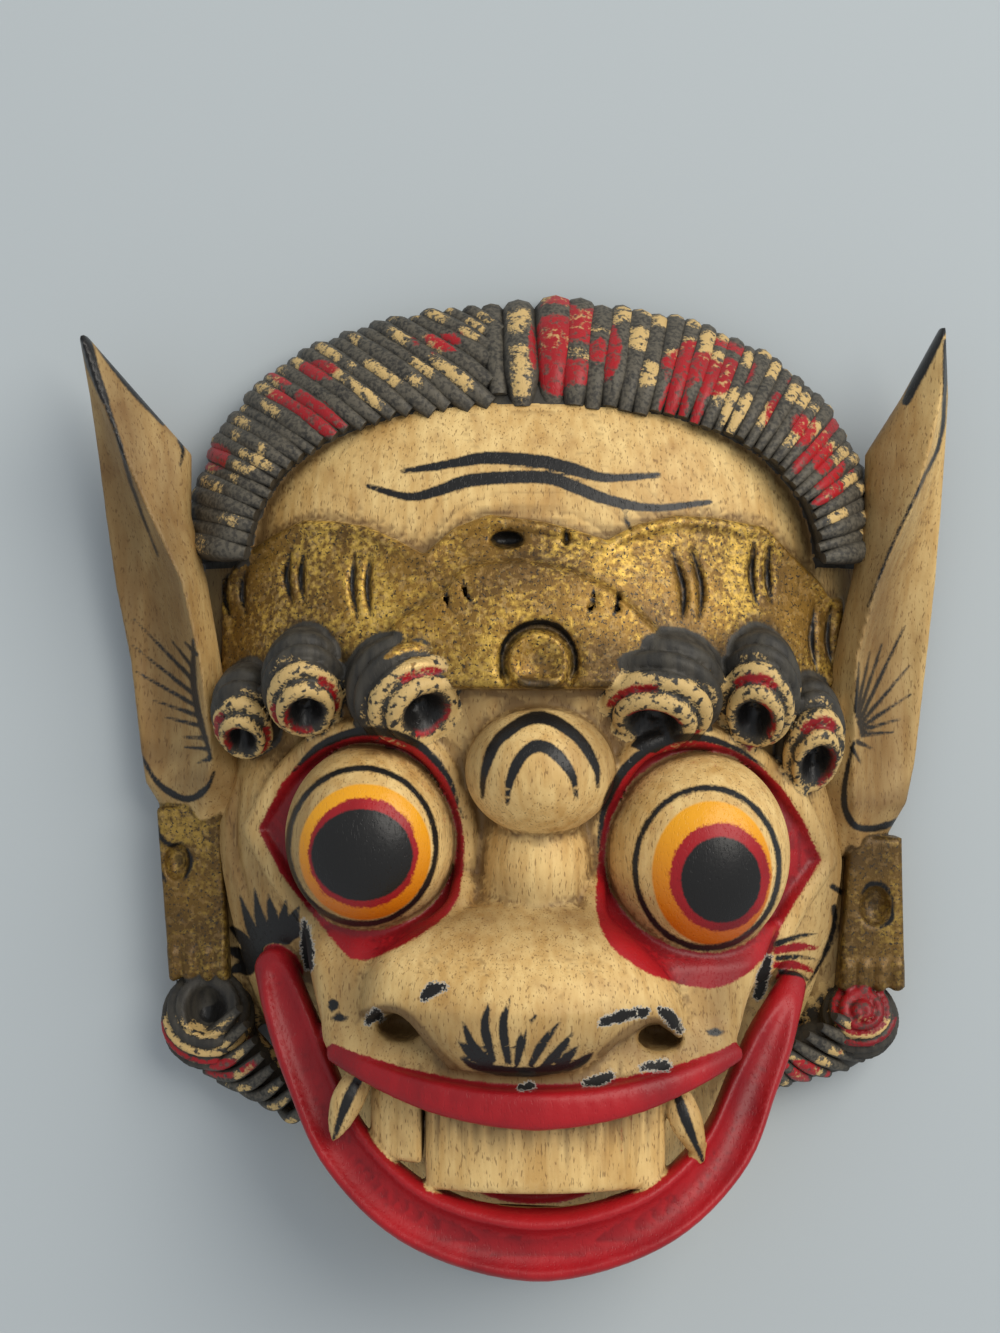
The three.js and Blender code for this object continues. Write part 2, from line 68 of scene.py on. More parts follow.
# The block: one piece of light wood, egg-shaped from the front and domed, for the whole mask.
# It is carved on a grid of cells: `wood` holds the distance to the surface, below zero inside the wood.
FACE_CELL = 0.00095
FACE_LOW = (-0.1060, -0.1460, -0.0040)
FACE_HIGH = (0.1180, 0.1470, 0.0920)
FACE_X = 0.005
WIDEST_Y = 0.060
BLOCK = {"half_width": 0.097, "above": 0.079, "below": 0.203}
BLOCK_EDGE = 0.011
BLOCK_CROWN = 0.050
DOME_POWER = 2.4
UPPER_SQUARENESS = 2.5
LOWER_SQUARENESS = 2.2
SWELLINGS = [
    {"centre": (0.005, 0.033), "radii": (0.096, 0.038), "rise": 0.008},
    {"centre": (-0.072, -0.028), "radii": (0.026, 0.042), "rise": 0.012},
    {"centre": (0.083, -0.030), "radii": (0.026, 0.042), "rise": 0.012},
    {"centre": (0.0055, -0.105), "radii": (0.057, 0.040), "rise": 0.026},
    {"centre": (0.005, -0.059), "radii": (0.061, 0.039), "rise": 0.030},
]
axes = [np.arange(low, high, FACE_CELL, dtype=np.float32) for low, high in zip(FACE_LOW, FACE_HIGH)]


def egg_reach(x, y, half_width, above, below):
    upper = y > WIDEST_Y
    power = np.where(upper, UPPER_SQUARENESS, LOWER_SQUARENESS)
    across = np.abs(x - FACE_X) / half_width
    along = np.abs(y - WIDEST_Y) / np.where(upper, above, below)
    return (across ** power + along ** power) ** (1 / power)


def swell(x, y, swellings):
    total = 0
    for swelling in swellings:
        (cx, cy), (rx, ry) = swelling["centre"], swelling["radii"]
        total = total + swelling["rise"] * np.maximum(0, 1 - ((x - cx) / rx) ** 2 - ((y - cy) / ry) ** 2)
    return total


def face_height(x, y):
    reach = np.minimum(egg_reach(x, y, **BLOCK), 1)
    return BLOCK_EDGE + (BLOCK_CROWN - BLOCK_EDGE) * (1 - reach ** DOME_POWER) + swell(x, y, SWELLINGS)


def soft_min(a, b, blend):
    near = np.maximum(0, 1 - np.abs(a - b) / blend)
    return np.minimum(a, b) - blend / 4 * near ** 2


def soft_max(a, b, blend):
    return -soft_min(-a, -b, blend)


def window(low, high):
    cuts = tuple(slice(*np.searchsorted(axis, (a, b))) for axis, a, b in zip(axes, low, high))
    return cuts, np.meshgrid(*(axis[part] for axis, part in zip(axes, cuts)), indexing="ij", sparse=True)


def smooth_path(points, count):
    points = np.asarray(points, dtype=float)
    padded = np.vstack([2 * points[0] - points[1], points, 2 * points[-1] - points[-2]])
    along = np.linspace(0, len(points) - 1 - 1e-9, count)
    step = along.astype(int)
    t = (along - step)[:, None]
    a, b, c, d = (padded[step + k] for k in range(4))
    cubic = 2 * b + (c - a) * t + (2 * a - 5 * b + 4 * c - d) * t ** 2 + (3 * b - a - 3 * c + d) * t ** 3
    return 0.5 * cubic


def laid_on_block(path, count, lift):
    """A smooth path of view points, laid on the block at a height above it."""
    across, down = smooth_path(path, count).T
    z = BLOCK_CROWN
    for _ in range(4):
        x, y = from_view(across, down, z)
        z = face_height(x, y) + lift
    return np.column_stack([x, y, z])


def add(form, low, high, blend=0.0006):
    cells, (x, y, z) = window(low, high)
    wood[cells] = soft_min(wood[cells], form(x, y, z), blend)


def cut(form, low, high, blend=0.0006):
    cells, (x, y, z) = window(low, high)
    wood[cells] = soft_max(wood[cells], -form(x, y, z), blend)


def around(centre, radii, margin=0.008):
    return np.subtract(centre, radii) - margin, np.add(centre, radii) + margin


def ellipsoid(centre, radii):
    def form(x, y, z):
        offset = [axis - c for axis, c in zip((x, y, z), centre)]
        near = np.sqrt(sum((o / r) ** 2 for o, r in zip(offset, radii)))
        slope = np.sqrt(sum((o / r ** 2) ** 2 for o, r in zip(offset, radii)))
        return near * (near - 1) / np.maximum(slope, 1e-3)
    return form


def bar(path, half_width, half_depth, taper, square=2):
    """A bar along a path, from round (square 2) to flat; taper gives its thickness along the path."""
    scale = np.interp(np.linspace(0, 1, len(path)), np.linspace(0, 1, len(taper)), taper)

    def form(x, y, z):
        nearest = np.inf
        for k in range(len(path) - 1):
            start, run = path[k], path[k + 1] - path[k]
            along = (x - start[0]) * run[0] + (y - start[1]) * run[1] + (z - start[2]) * run[2]
            share = np.clip(along / (run @ run), 0, 1)
            size = scale[k] + share * (scale[k + 1] - scale[k])
            flat = (x - start[0] - share * run[0]) ** 2 + (y - start[1] - share * run[1]) ** 2
            lift = (z - start[2] - share * run[2]) ** 2
            wide = (flat / (half_width * size) ** 2) ** (square / 2)
            nearest = np.minimum(nearest, wide + (lift / (half_depth * size) ** 2) ** (square / 2))
        return (nearest ** (1 / square) - 1) * min(half_width, half_depth)
    return form


def span(path, margin):
    return np.min(path, axis=0) - margin, np.max(path, axis=0) + margin


plan_x, plan_y = np.meshgrid(axes[0], axes[1], indexing="ij")
plan_height = face_height(plan_x, plan_y)
slopes = np.gradient(plan_height, FACE_CELL)
steepness = np.sqrt(1 + slopes[0] ** 2 + slopes[1] ** 2)
outline = (egg_reach(plan_x, plan_y, **BLOCK) - 1) * BLOCK["half_width"]
wood = np.maximum((axes[2] - plan_height[:, :, None]) / steepness[:, :, None], outline[:, :, None])
wood = wood.astype(np.float32)

# The crown: a roll of hair round the top of the head, carved into combed locks from a parting.
# The grid carries the roll; the locks are laid over it further down.
HAIR_INNER = {"half_width": 0.082, "above": 0.051, "below": 1.0}
HAIR_OUTER = {"half_width": 0.1005, "above": 0.081, "below": 1.0}
HAIR_INNER_Z = 0.038
HAIR_OUTER_Z = 0.013
HAIR_CURVE = 1.7
HAIR_END_Y = 0.067
LOCK_RELIEF = 0.0024


def hair_share(x, y):
    """How far a place lies from the hairline, at 0, to the outer edge of the hair, at 1."""
    inner = egg_reach(x, y, **HAIR_INNER)
    outer = egg_reach(x, y, **HAIR_OUTER)
    return (inner - 1) / np.maximum(inner / outer - 1, 0.05)


def hair_height(share):
    return HAIR_INNER_Z + (HAIR_OUTER_Z - HAIR_INNER_Z) * np.clip(share, 0, 1) ** HAIR_CURVE


def hair_roll(x, y, z):
    top = hair_height(hair_share(x, y)) - LOCK_RELIEF
    rim = (egg_reach(x, y, **HAIR_OUTER) - 1) * HAIR_OUTER["above"]
    hairline = (1 - egg_reach(x, y, **HAIR_INNER)) * HAIR_INNER["above"]
    return np.maximum(np.maximum(z - top, HAIR_END_Y - y), np.maximum(rim, hairline))


add(hair_roll, (-0.110, 0.060, -0.004), (0.120, 0.146, 0.045))

# The diadem: a band with a scalloped top edge, left standing on the brow and gilt over the wood.
# It is cut with a slot and pairs of gouge marks; a raised shield in its middle carries a ringed disc.
DIADEM_LEFT = -0.086
DIADEM_RIGHT = 0.096
DIADEM_BOTTOM = 0.030
DIADEM_THICKNESS = 0.004
DIADEM_ROUNDING = 0.002
DIADEM_Z = 0.056
DIADEM_TOP = [
    (208, 572), (234, 544), (265, 528), (296, 515), (331, 517), (366, 524), (397, 539), (423, 553),
    (454, 526), (489, 513), (542, 520), (573, 528), (608, 539), (635, 524), (679, 513), (718, 514),
    (775, 522), (802, 548), (837, 577), (850, 594),
]
SHIELD_OUTLINE = [
    (392, 640), (394, 624), (436, 599), (463, 570), (489, 563), (524, 561), (573, 572), (612, 590),
    (656, 630), (656, 700), (392, 700),
]
SHIELD_RISE = 0.0030
SHIELD_SLOPE = 0.0016
GOUGE_LINES = [
    [(228, 574), (224, 594), (230, 616)], [(246, 570), (241, 592), (246, 614)],
    [(290, 552), (286, 578), (292, 604)], [(304, 552), (300, 578), (304, 602)],
    [(355, 552), (352, 586), (358, 620)], [(370, 554), (367, 586), (370, 616)],
    [(446, 588), (448, 602), (456, 614)], [(464, 580), (466, 594), (474, 604)],
    [(594, 588), (592, 604), (586, 618)], [(618, 592), (617, 607), (611, 620)],
    [(672, 550), (684, 588), (682, 622)], [(692, 550), (702, 586), (700, 618)],
    [(755, 543), (752, 574), (757, 606)], [(770, 543), (768, 574), (772, 604)],
    [(815, 606), (812, 640), (817, 672)], [(831, 606), (828, 638), (832, 668)],
    [(564, 529), (567, 537), (566, 546)], [(624, 513), (627, 521), (631, 530)],
]
GOUGE_HALF_WIDTH = 0.0013
GOUGE_DEPTH = 0.0026
GOUGE_TAPER = [0.3, 1, 1, 0.3]
RIM_RISE = 0.0012
RIM_WIDTH = 0.0034
DISC_CENTRE = (0.0060, 0.0372)
DISC_RADIUS = 0.0085
DISC_RISE = 0.0024
DISC_EDGE = 0.0010
DISH_RADIUS = 0.0060
DISH_DEPTH = 0.0032
GROOVE_RADIUS = 0.0098
GROOVE_WIDTH = 0.0012
GROOVE_DEPTH = 0.0030
SLOT_CENTRE = (-0.0025, 0.071, 0.054)
SLOT_RADII = (0.0050, 0.0026, 0.005)
TOP_SLOPE = 0.8


def at_height(path, z):
    """A path of view points, laid flat at one height."""
    return np.array([from_view(across, down, z) for across, down in path])


def outline_distance(x, y, path):
    """Distance to a closed outline, below zero inside it."""
    inside = np.zeros(np.broadcast(x, y).shape, dtype=bool)
    nearest = np.full(inside.shape, np.inf)
    for (x0, y0), (x1, y1) in zip(path, np.roll(path, -1, axis=0)):
        inside ^= ((y0 > y) != (y1 > y)) & (x < (x1 - x0) * (y - y0) / (y1 - y0 + 1e-12) + x0)
        run = (x1 - x0) ** 2 + (y1 - y0) ** 2 + 1e-12
        share = np.clip(((x - x0) * (x1 - x0) + (y - y0) * (y1 - y0)) / run, 0, 1)
        nearest = np.minimum(nearest, np.hypot(x - x0 - share * (x1 - x0), y - y0 - share * (y1 - y0)))
    return np.where(inside, -nearest, nearest)


def diadem_plan(x, y):
    top_x, top_y = at_height(DIADEM_TOP, DIADEM_Z).T
    crest = np.interp(x, top_x, top_y)
    sides = np.maximum(DIADEM_LEFT - x, x - DIADEM_RIGHT)
    return np.maximum(np.maximum(y - crest, DIADEM_BOTTOM - y), sides)


def diadem(x, y, z):
    top = face_height(x, y) + DIADEM_THICKNESS
    top = top + RIM_RISE * np.exp(-((diadem_plan(x, y) + RIM_WIDTH / 2) / (RIM_WIDTH / 2)) ** 4)
    from_shield = outline_distance(x, y, at_height(SHIELD_OUTLINE, DIADEM_Z))
    top = top + SHIELD_RISE * np.clip(0.5 - from_shield / SHIELD_SLOPE, 0, 1)
    from_disc = np.hypot(x - DISC_CENTRE[0], y - DISC_CENTRE[1])
    top = top + DISC_RISE * np.clip((DISC_RADIUS - from_disc) / DISC_EDGE, 0, 1)
    top = top - DISH_DEPTH * np.exp(-(from_disc / DISH_RADIUS) ** 4)
    top = top - GROOVE_DEPTH * np.exp(-((from_disc - GROOVE_RADIUS) / GROOVE_WIDTH) ** 2)
    return soft_max((z - top) * TOP_SLOPE, diadem_plan(x, y), DIADEM_ROUNDING)


add(diadem, (-0.092, 0.024, 0.010), (0.102, 0.084, 0.070))
cut(ellipsoid(SLOT_CENTRE, SLOT_RADII), *around(SLOT_CENTRE, SLOT_RADII))
for gouge in GOUGE_LINES:
    path = laid_on_block(gouge, 8, DIADEM_THICKNESS)
    cut(bar(path, GOUGE_HALF_WIDTH, GOUGE_DEPTH, GOUGE_TAPER), *span(path, 0.006))

# The brows: three curled locks a side, each coiled round a dark hole that looks down and out.
# A coil is a ball whose surface winds in ridges round the axis of its hole.
CURLS = [
    dict(centre=(-0.0308, 0.0300, 0.051), radii=(0.0165, 0.0160, 0.018), lean=42, tilt=46, hole=0.47),
    dict(centre=(-0.0590, 0.0318, 0.045), radii=(0.0122, 0.0155, 0.018), lean=10, tilt=50, hole=0.50),
    dict(centre=(-0.0768, 0.0235, 0.032), radii=(0.0102, 0.0140, 0.017), lean=-4, tilt=52, hole=0.48),
    dict(centre=(0.0400, 0.0300, 0.051), radii=(0.0180, 0.0165, 0.018), lean=-14, tilt=54, hole=0.48),
    dict(centre=(0.0676, 0.0302, 0.045), radii=(0.0120, 0.0168, 0.018), lean=-20, tilt=48, hole=0.50),
    dict(centre=(0.0838, 0.0168, 0.032), radii=(0.0102, 0.0165, 0.017), lean=10, tilt=44, hole=0.54),
]
COIL_PITCH = 0.33
COIL_RIDGE = 0.18
COIL_REACH = 2.2
COIL_FADE = 0.5
COIL_CROWDING = 0.25
HOLE_EDGE = 0.08
HOLE_DEPTH = 0.55


def coil_place(curl, x, y, z):
    """Distance from the middle in radii, angle from the axis of the hole, and turn around it."""
    lean, tilt = np.radians(curl["lean"]), np.radians(curl["tilt"])
    across, along, out = [(axis - c) / r for axis, c, r in zip((x, y, z), curl["centre"], curl["radii"])]
    across, along = across * np.cos(lean) + along * np.sin(lean), along * np.cos(lean) - across * np.sin(lean)
    along, out = along * np.cos(tilt) + out * np.sin(tilt), out * np.cos(tilt) - along * np.sin(tilt)
    from_middle = np.sqrt(across ** 2 + along ** 2 + out ** 2)
    from_axis = np.arccos(np.clip(out / np.maximum(from_middle, 1e-6), -1, 1))
    return from_middle, from_axis, np.arctan2(along, across)


def ring_number(curl, from_axis, turn):
    """Counts the ridges outwards from the edge of the hole; they crowd together below it."""
    return (from_axis - curl["hole"]) / (COIL_PITCH * (1 + COIL_CROWDING * np.sin(turn)))


def coil(curl):
    def form(x, y, z):
        from_middle, from_axis, turn = coil_place(curl, x, y, z)
        ridges = np.sqrt(np.abs(np.sin(np.pi * ring_number(curl, from_axis, turn))))
        fade = np.clip((COIL_REACH - from_axis) / COIL_FADE, 0, 1)
        hole = np.clip((curl["hole"] - from_axis) / HOLE_EDGE, 0, 1)
        shell = 1 + COIL_RIDGE * fade * (ridges - 1) - HOLE_DEPTH * hole
        return (from_middle - shell) * min(curl["radii"])
    return form


for curl in CURLS:
    add(coil(curl), *around(curl["centre"], curl["radii"]))

# The boss and the nose: a round boss between the brows, a short flat bridge and a broad snout.
# All three are rounded out of the block and painted with it; the snout's wings arch over two nostrils.
BOSS = ((0.0065, 0.0075, 0.056), (0.0205, 0.0175, 0.020))
BRIDGE = ((0.006, -0.020, 0.042), (0.016, 0.025, 0.021))
SNOUT_OUTLINE = [
    (468, 915), (530, 906), (592, 915), (636, 945), (672, 985), (686, 1022), (682, 1046), (671, 1040),
    (658, 1024), (640, 1018), (620, 1028), (602, 1052), (575, 1071), (530, 1078), (486, 1075), (455, 1068),
    (438, 1052), (420, 1030), (402, 1015), (384, 1014), (370, 1024), (361, 1020), (361, 996), (374, 965),
    (415, 936),
]
SNOUT_Z = 0.072
SNOUT_BASE = 0.058
SNOUT_RISE = 0.0278
SNOUT_MIDDLE = 0.002
SNOUT_REACH = 0.054
SNOUT_ROUNDING = 0.006
SNOUT_SLOPE = 0.85
SNOUT_PROFILE = [
    (-0.076, 0.52), (-0.070, 0.78), (-0.062, 0.96), (-0.054, 1.00), (-0.046, 0.86), (-0.038, 0.58),
    (-0.031, 0.27), (-0.026, 0.05),
]
NOSTRILS = [
    ((-0.0315, -0.0615, 0.062), (0.0062, 0.0036, 0.010)),
    ((0.0385, -0.0640, 0.062), (0.0062, 0.0034, 0.010)),
]
WINGS = [
    [(366, 1012), (382, 1004), (402, 1005), (420, 1018), (436, 1040), (452, 1064)],
    [(598, 1056), (611, 1038), (628, 1027), (648, 1015), (666, 1018), (680, 1040)],
]
WING_RADIUS = 0.0019
WING_TAPER = [0.4, 1, 1, 0.4]


def snout_top(x, y):
    """Rises from the bridge to the tip and rounds down again to the lip."""
    along = np.interp(y, *np.transpose(SNOUT_PROFILE))
    return SNOUT_BASE + SNOUT_RISE * along * (1 - ((x - SNOUT_MIDDLE) / SNOUT_REACH) ** 2)


def rounded_outline(outline, count, z):
    """A closed outline of view points, smoothed and laid flat at one height."""
    return at_height(smooth_path(outline + outline[:1], count), z)[:-1]


def snout(x, y, z):
    sides = outline_distance(x, y, rounded_outline(SNOUT_OUTLINE, 90, SNOUT_Z))
    return soft_max((z - snout_top(x, y)) * SNOUT_SLOPE, sides, SNOUT_ROUNDING)


add(ellipsoid(*BRIDGE), *around(*BRIDGE), blend=0.006)
add(ellipsoid(*BOSS), *around(*BOSS), blend=0.002)
add(snout, (-0.054, -0.086, 0.040), (0.058, -0.020, 0.090), blend=0.002)

# The eyes: bulging balls carved in the block, each in a lid that is a low ridge around it.
# The lids are painted red and drawn out to a point at the outer corner.
BALLS = [
    ((-0.0405, -0.0115, 0.045), (0.0238, 0.0260, 0.025)),
    ((0.0505, -0.0160, 0.045), (0.0258, 0.0285, 0.025)),
]
LIDS = [
    [(254, 829), (284, 776), (320, 743), (364, 729), (412, 739), (449, 776), (466, 830), (464, 885),
     (449, 917), (400, 950), (352, 962), (318, 925), (282, 880), (254, 829)],
    [(825, 861), (796, 802), (752, 756), (694, 736), (640, 750), (606, 800), (595, 860), (598, 930),
     (640, 972), (713, 991), (766, 962), (790, 916), (825, 861)],
]
LID_LIFT = 0.0012
LID_RADIUS = 0.0034

for lid, ball in zip(LIDS, BALLS):
    path = laid_on_block(lid, 60, LID_LIFT)
    add(bar(path, LID_RADIUS, LID_RADIUS, [1]), *span(path, 0.008), blend=0.002)
    add(ellipsoid(*ball), *around(*ball))

# The mouth: a wide red recess, an upper lip arched over cream teeth, a fang at each corner.
# The lower lip is a band that climbs the cheeks; below the teeth it is only guessed.
MOUTH = ((0.0055, -0.099, 0.066), (0.045, 0.019, 0.022))
LIP_HALF_WIDTH = 0.054
LIP_Y = -0.0803
LIP_RISE = 0.011
LIP_Z = 0.076
LIP_FALL = 0.018
LIP_TAPER = [0.5, 0.85, 1, 0.85, 0.5]
LIP_HALF_HEIGHT = 0.0052
LIP_HALF_DEPTH = 0.0062
LIP_SQUARENESS = 5
BAND = [
    (-0.0685, -0.050, 0.032), (-0.0645, -0.060, 0.038), (-0.0575, -0.077, 0.044), (-0.046, -0.097, 0.053),
    (-0.025, -0.113, 0.061), (0.006, -0.120, 0.063), (0.036, -0.113, 0.061), (0.056, -0.098, 0.053),
    (0.066, -0.080, 0.044), (0.073, -0.066, 0.038), (0.079, -0.055, 0.031),
]
BAND_HALF_WIDTH = 0.0074
BAND_HALF_DEPTH = 0.0062
BAND_TAPER = [0.8, 0.95, 1, 1.1, 1.25, 1.1, 1, 0.9, 0.55]
BAND_SQUARENESS = 3.5
TROUGH_LIFT = 0.0084
TROUGH_HALF_WIDTH = 0.0060
TROUGH_HALF_DEPTH = 0.0052
TROUGH_TAPER = [0.5, 0.9, 1, 1, 1, 1, 1, 0.8, 0.3]
MUZZLE_OUTLINE = [
    (294, 905), (299, 945), (307, 985), (317, 1022), (330, 1056), (400, 1080), (460, 1098), (530, 1106),
    (610, 1098), (680, 1084), (724, 1068), (742, 1036), (754, 1002), (774, 962), (784, 930), (700, 950),
    (530, 900), (380, 925),
]
MUZZLE_Z = 0.060
MUZZLE_CROWN = 0.0675
MUZZLE_FALL = 0.0090
MUZZLE_REACH = 0.052
MUZZLE_PROFILE = [
    (-0.080, -0.010), (-0.070, -0.005), (-0.060, 0), (-0.046, 0.002), (-0.034, 0.010), (-0.024, 0.022),
]
FANGS = [
    [(-0.041, -0.073, 0.056), (-0.046, -0.082, 0.060), (-0.050, -0.0935, 0.059)],
    [(0.043, -0.078, 0.058), (0.046, -0.087, 0.061), (0.051, -0.099, 0.059)],
]
FANG_HALF_WIDTH = 0.0046
FANG_HALF_DEPTH = 0.0034
FANG_TAPER = [0.55, 0.9, 1, 0.7, 0.1]
TEETH = [(-0.0400, -0.0255, -0.0985), (-0.0245, 0.0405, -0.105)]
TEETH_TOP = -0.078
TEETH_Z = 0.071
TEETH_FALL = 0.021
TEETH_DEPTH = 0.018
TEETH_ROUNDING = 0.003

across = np.linspace(-1, 1, 25)
lip_x = FACE_X + across * LIP_HALF_WIDTH
lip_path = np.column_stack([lip_x, LIP_Y + LIP_RISE * across ** 2, LIP_Z - LIP_FALL * across ** 2])
lip = bar(lip_path, LIP_HALF_HEIGHT, LIP_HALF_DEPTH, LIP_TAPER, LIP_SQUARENESS)
band_path = smooth_path(BAND, 70)
band = bar(band_path, BAND_HALF_WIDTH, BAND_HALF_DEPTH, BAND_TAPER, BAND_SQUARENESS)
trough = bar(band_path + (0, 0, TROUGH_LIFT), TROUGH_HALF_WIDTH, TROUGH_HALF_DEPTH, TROUGH_TAPER)
fangs = [bar(smooth_path(fang, 12), FANG_HALF_WIDTH, FANG_HALF_DEPTH, FANG_TAPER) for fang in FANGS]


def muzzle(x, y, z):
    """The broad upper jaw beside and under the nose, with a rounded outer edge."""
    fall = MUZZLE_FALL * ((x - FACE_X) / MUZZLE_REACH) ** 2
    drop = np.interp(y, *np.transpose(MUZZLE_PROFILE))
    sides = outline_distance(x, y, rounded_outline(MUZZLE_OUTLINE, 80, MUZZLE_Z))
    return soft_max((z - MUZZLE_CROWN + fall + drop) * SNOUT_SLOPE, sides, SNOUT_ROUNDING)


def teeth(x, y, z):
    front = TEETH_Z - TEETH_FALL * ((x - FACE_X) / LIP_HALF_WIDTH) ** 2
    nearest = np.inf
    for left, right, bottom in TEETH:
        sides = np.maximum(np.maximum(left - x, x - right), np.maximum(bottom - y, y - TEETH_TOP))
        run = soft_max(np.maximum(z - front, front - TEETH_DEPTH - z), sides, TEETH_ROUNDING)
        nearest = np.minimum(nearest, run)
    return nearest


cut(ellipsoid(*MOUTH), *around(*MOUTH), blend=0.002)
add(band, *span(band_path, 0.014), blend=0.002)
cut(trough, *span(band_path, 0.014), blend=0.001)
add(muzzle, (-0.066, -0.094, 0.030), (0.080, -0.016, 0.078), blend=0.003)
for nostril in NOSTRILS:
    cut(ellipsoid(*nostril), *around(*nostril), blend=0.0015)
for wing in WINGS:
    flat = at_height(smooth_path(wing, 20), SNOUT_Z)
    path = np.column_stack([flat, snout_top(flat[:, 0], flat[:, 1]) - 2 * WING_RADIUS])
    add(bar(path, WING_RADIUS, WING_RADIUS, WING_TAPER), *span(path, 0.006), blend=0.003)
add(teeth, (-0.046, -0.108, 0.030), (0.046, -0.074, 0.076))
for path, fang in zip(FANGS, fangs):
    add(fang, *span(path, 0.010))
add(lip, *span(lip_path, 0.014), blend=0.001)

# The jowls: plain wood of the block behind the ornaments, which carries them.
# A rounded bed below each carries the side curl and the strands of hair that sweep down the jaw.
JOWLS = [((-0.084, -0.036, 0.004), (0.017, 0.040, 0.009)), ((0.095, -0.040, 0.004), (0.016, 0.038, 0.009))]
JOWL_BEDS = [
    [(-0.089, -0.068, 0.008), (-0.084, -0.078, 0.009), (-0.0735, -0.0855, 0.010), (-0.0655, -0.092, 0.012)],
    [(0.102, -0.0696, 0.008), (0.0961, -0.0743, 0.009), (0.0867, -0.0784, 0.010), (0.076, -0.085, 0.012)],
]
BED_HALF_WIDTH = 0.0095
BED_HALF_DEPTH = 0.0070
BED_TAPER = [0.9, 1, 0.8, 0.4]
beds = [bar(smooth_path(bed, 12), BED_HALF_WIDTH, BED_HALF_DEPTH, BED_TAPER) for bed in JOWL_BEDS]
for jowl in JOWLS:
    add(ellipsoid(*jowl), *around(*jowl), blend=0.004)
for path, bed in zip(JOWL_BEDS, beds):
    add(bed, *span(path, 0.014))

# The folds in the cheeks: one shallow groove beside each lid,
# cut into the block with a gouge and softened at its edges.
CHEEK_FOLDS = [[(239, 779), (233, 843), (247, 896)], [(833, 821), (851, 874), (838, 938)]]
FOLD_HALF_WIDTH = 0.0014
FOLD_DEPTH = 0.0024
FOLD_TAPER = [0.3, 1, 0.3]
for fold in CHEEK_FOLDS:
    path = laid_on_block(fold, 12, 0)
    cut(bar(path, FOLD_HALF_WIDTH, FOLD_DEPTH, FOLD_TAPER), *span(path, 0.008), blend=0.003)

# The back: hollowed with a gouge to a wall that leaves room for a face, and left in bare wood.
# The rim is cut flat, and the mask lies on it.
HOLLOW = {"half_width": 0.082, "above": 0.062, "below": 0.170}
HOLLOW_EDGE = 0.005
HOLLOW_CROWN = 0.033
HOLLOW_SIDE = 0.08
HOLLOW_ROUNDING = 0.003
HOLLOW_SWELLINGS = [{"centre": (0.005, -0.074), "radii": (0.046, 0.048), "rise": 0.022}]


def hollow(x, y, z):
    reach = egg_reach(x, y, **HOLLOW)
    top = HOLLOW_EDGE + (HOLLOW_CROWN - HOLLOW_EDGE) * (1 - np.minimum(reach, 1) ** DOME_POWER)
    top = top + swell(x, y, HOLLOW_SWELLINGS)
    return soft_max((z - top) * TOP_SLOPE, (reach - 1) * HOLLOW_SIDE, HOLLOW_ROUNDING)


cut(hollow, (-0.085, -0.120, -0.004), (0.095, 0.130, 0.062), blend=0.002)
wood = np.maximum(wood, -axes[2])


# The carving leaves the grid as a mesh with one point in each cell that its surface crosses.
# Points keep how deep they sit in a hollow (cavity above one half) or how far they stand out (below it).
FRONT_WEIGHT = 0.05
SEEN_FROM = -0.1
CAVITY_REACH = 3


def surface(values):
    inside = values < 0
    corners = [(i, j, k) for i in (0, 1) for j in (0, 1) for k in (0, 1)]
    trim = [slice(0, -1), slice(1, None)]
    filled = sum(inside[trim[i], trim[j], trim[k]].astype(np.int8) for i, j, k in corners)
    cells = np.argwhere((filled > 0) & (filled < 8))
    at = np.array([values[tuple((cells + corner).T)] for corner in corners])
    total = np.zeros((len(cells), 3))
    crossings = np.zeros(len(cells))
    for a, start in enumerate(corners):
        for axis in range(3):
            if start[axis] == 0:
                end = list(start)
                end[axis] = 1
                b = corners.index(tuple(end))
                crossed = (at[a] < 0) != (at[b] < 0)
                share = at[a][crossed] / (at[a][crossed] - at[b][crossed])
                total[crossed] += start
                total[crossed, axis] += share
                crossings += crossed
    low = np.array([axis[0] for axis in axes])
    points = low + (axes[0][1] - axes[0][0]) * (cells + total / crossings[:, None])
    number = np.full(inside.shape, -1, dtype=np.int32)
    number[tuple(cells.T)] = np.arange(len(cells))
    faces = []
    for axis in range(3):
        u, v = (axis + 1) % 3, (axis + 2) % 3
        here = [slice(1, -1)] * 3
        beyond = [slice(1, -1)] * 3
        beyond[axis] = slice(2, None)
        before, after = inside[tuple(here)], inside[tuple(beyond)]
        edges = np.argwhere(before != after) + 1
        ring = []
        for du, dv in ((-1, -1), (0, -1), (0, 0), (-1, 0)):
            cell = edges.copy()
            cell[:, u] += du
            cell[:, v] += dv
            ring.append(number[tuple(cell.T)])
        quads = np.array(ring).T
        leaving = inside[tuple(edges.T)]
        quads[~leaving] = quads[~leaving][:, ::-1]
        faces.append(quads)
    return points, np.vstack(faces)


def blurred(values, reach):
    for axis in range(3):
        total = np.cumsum(values, axis=axis, dtype=np.float32)
        ahead = np.roll(total, -reach, axis)
        behind = np.roll(total, reach + 1, axis)
        values = (ahead - behind) / (2 * reach + 1)
    return values


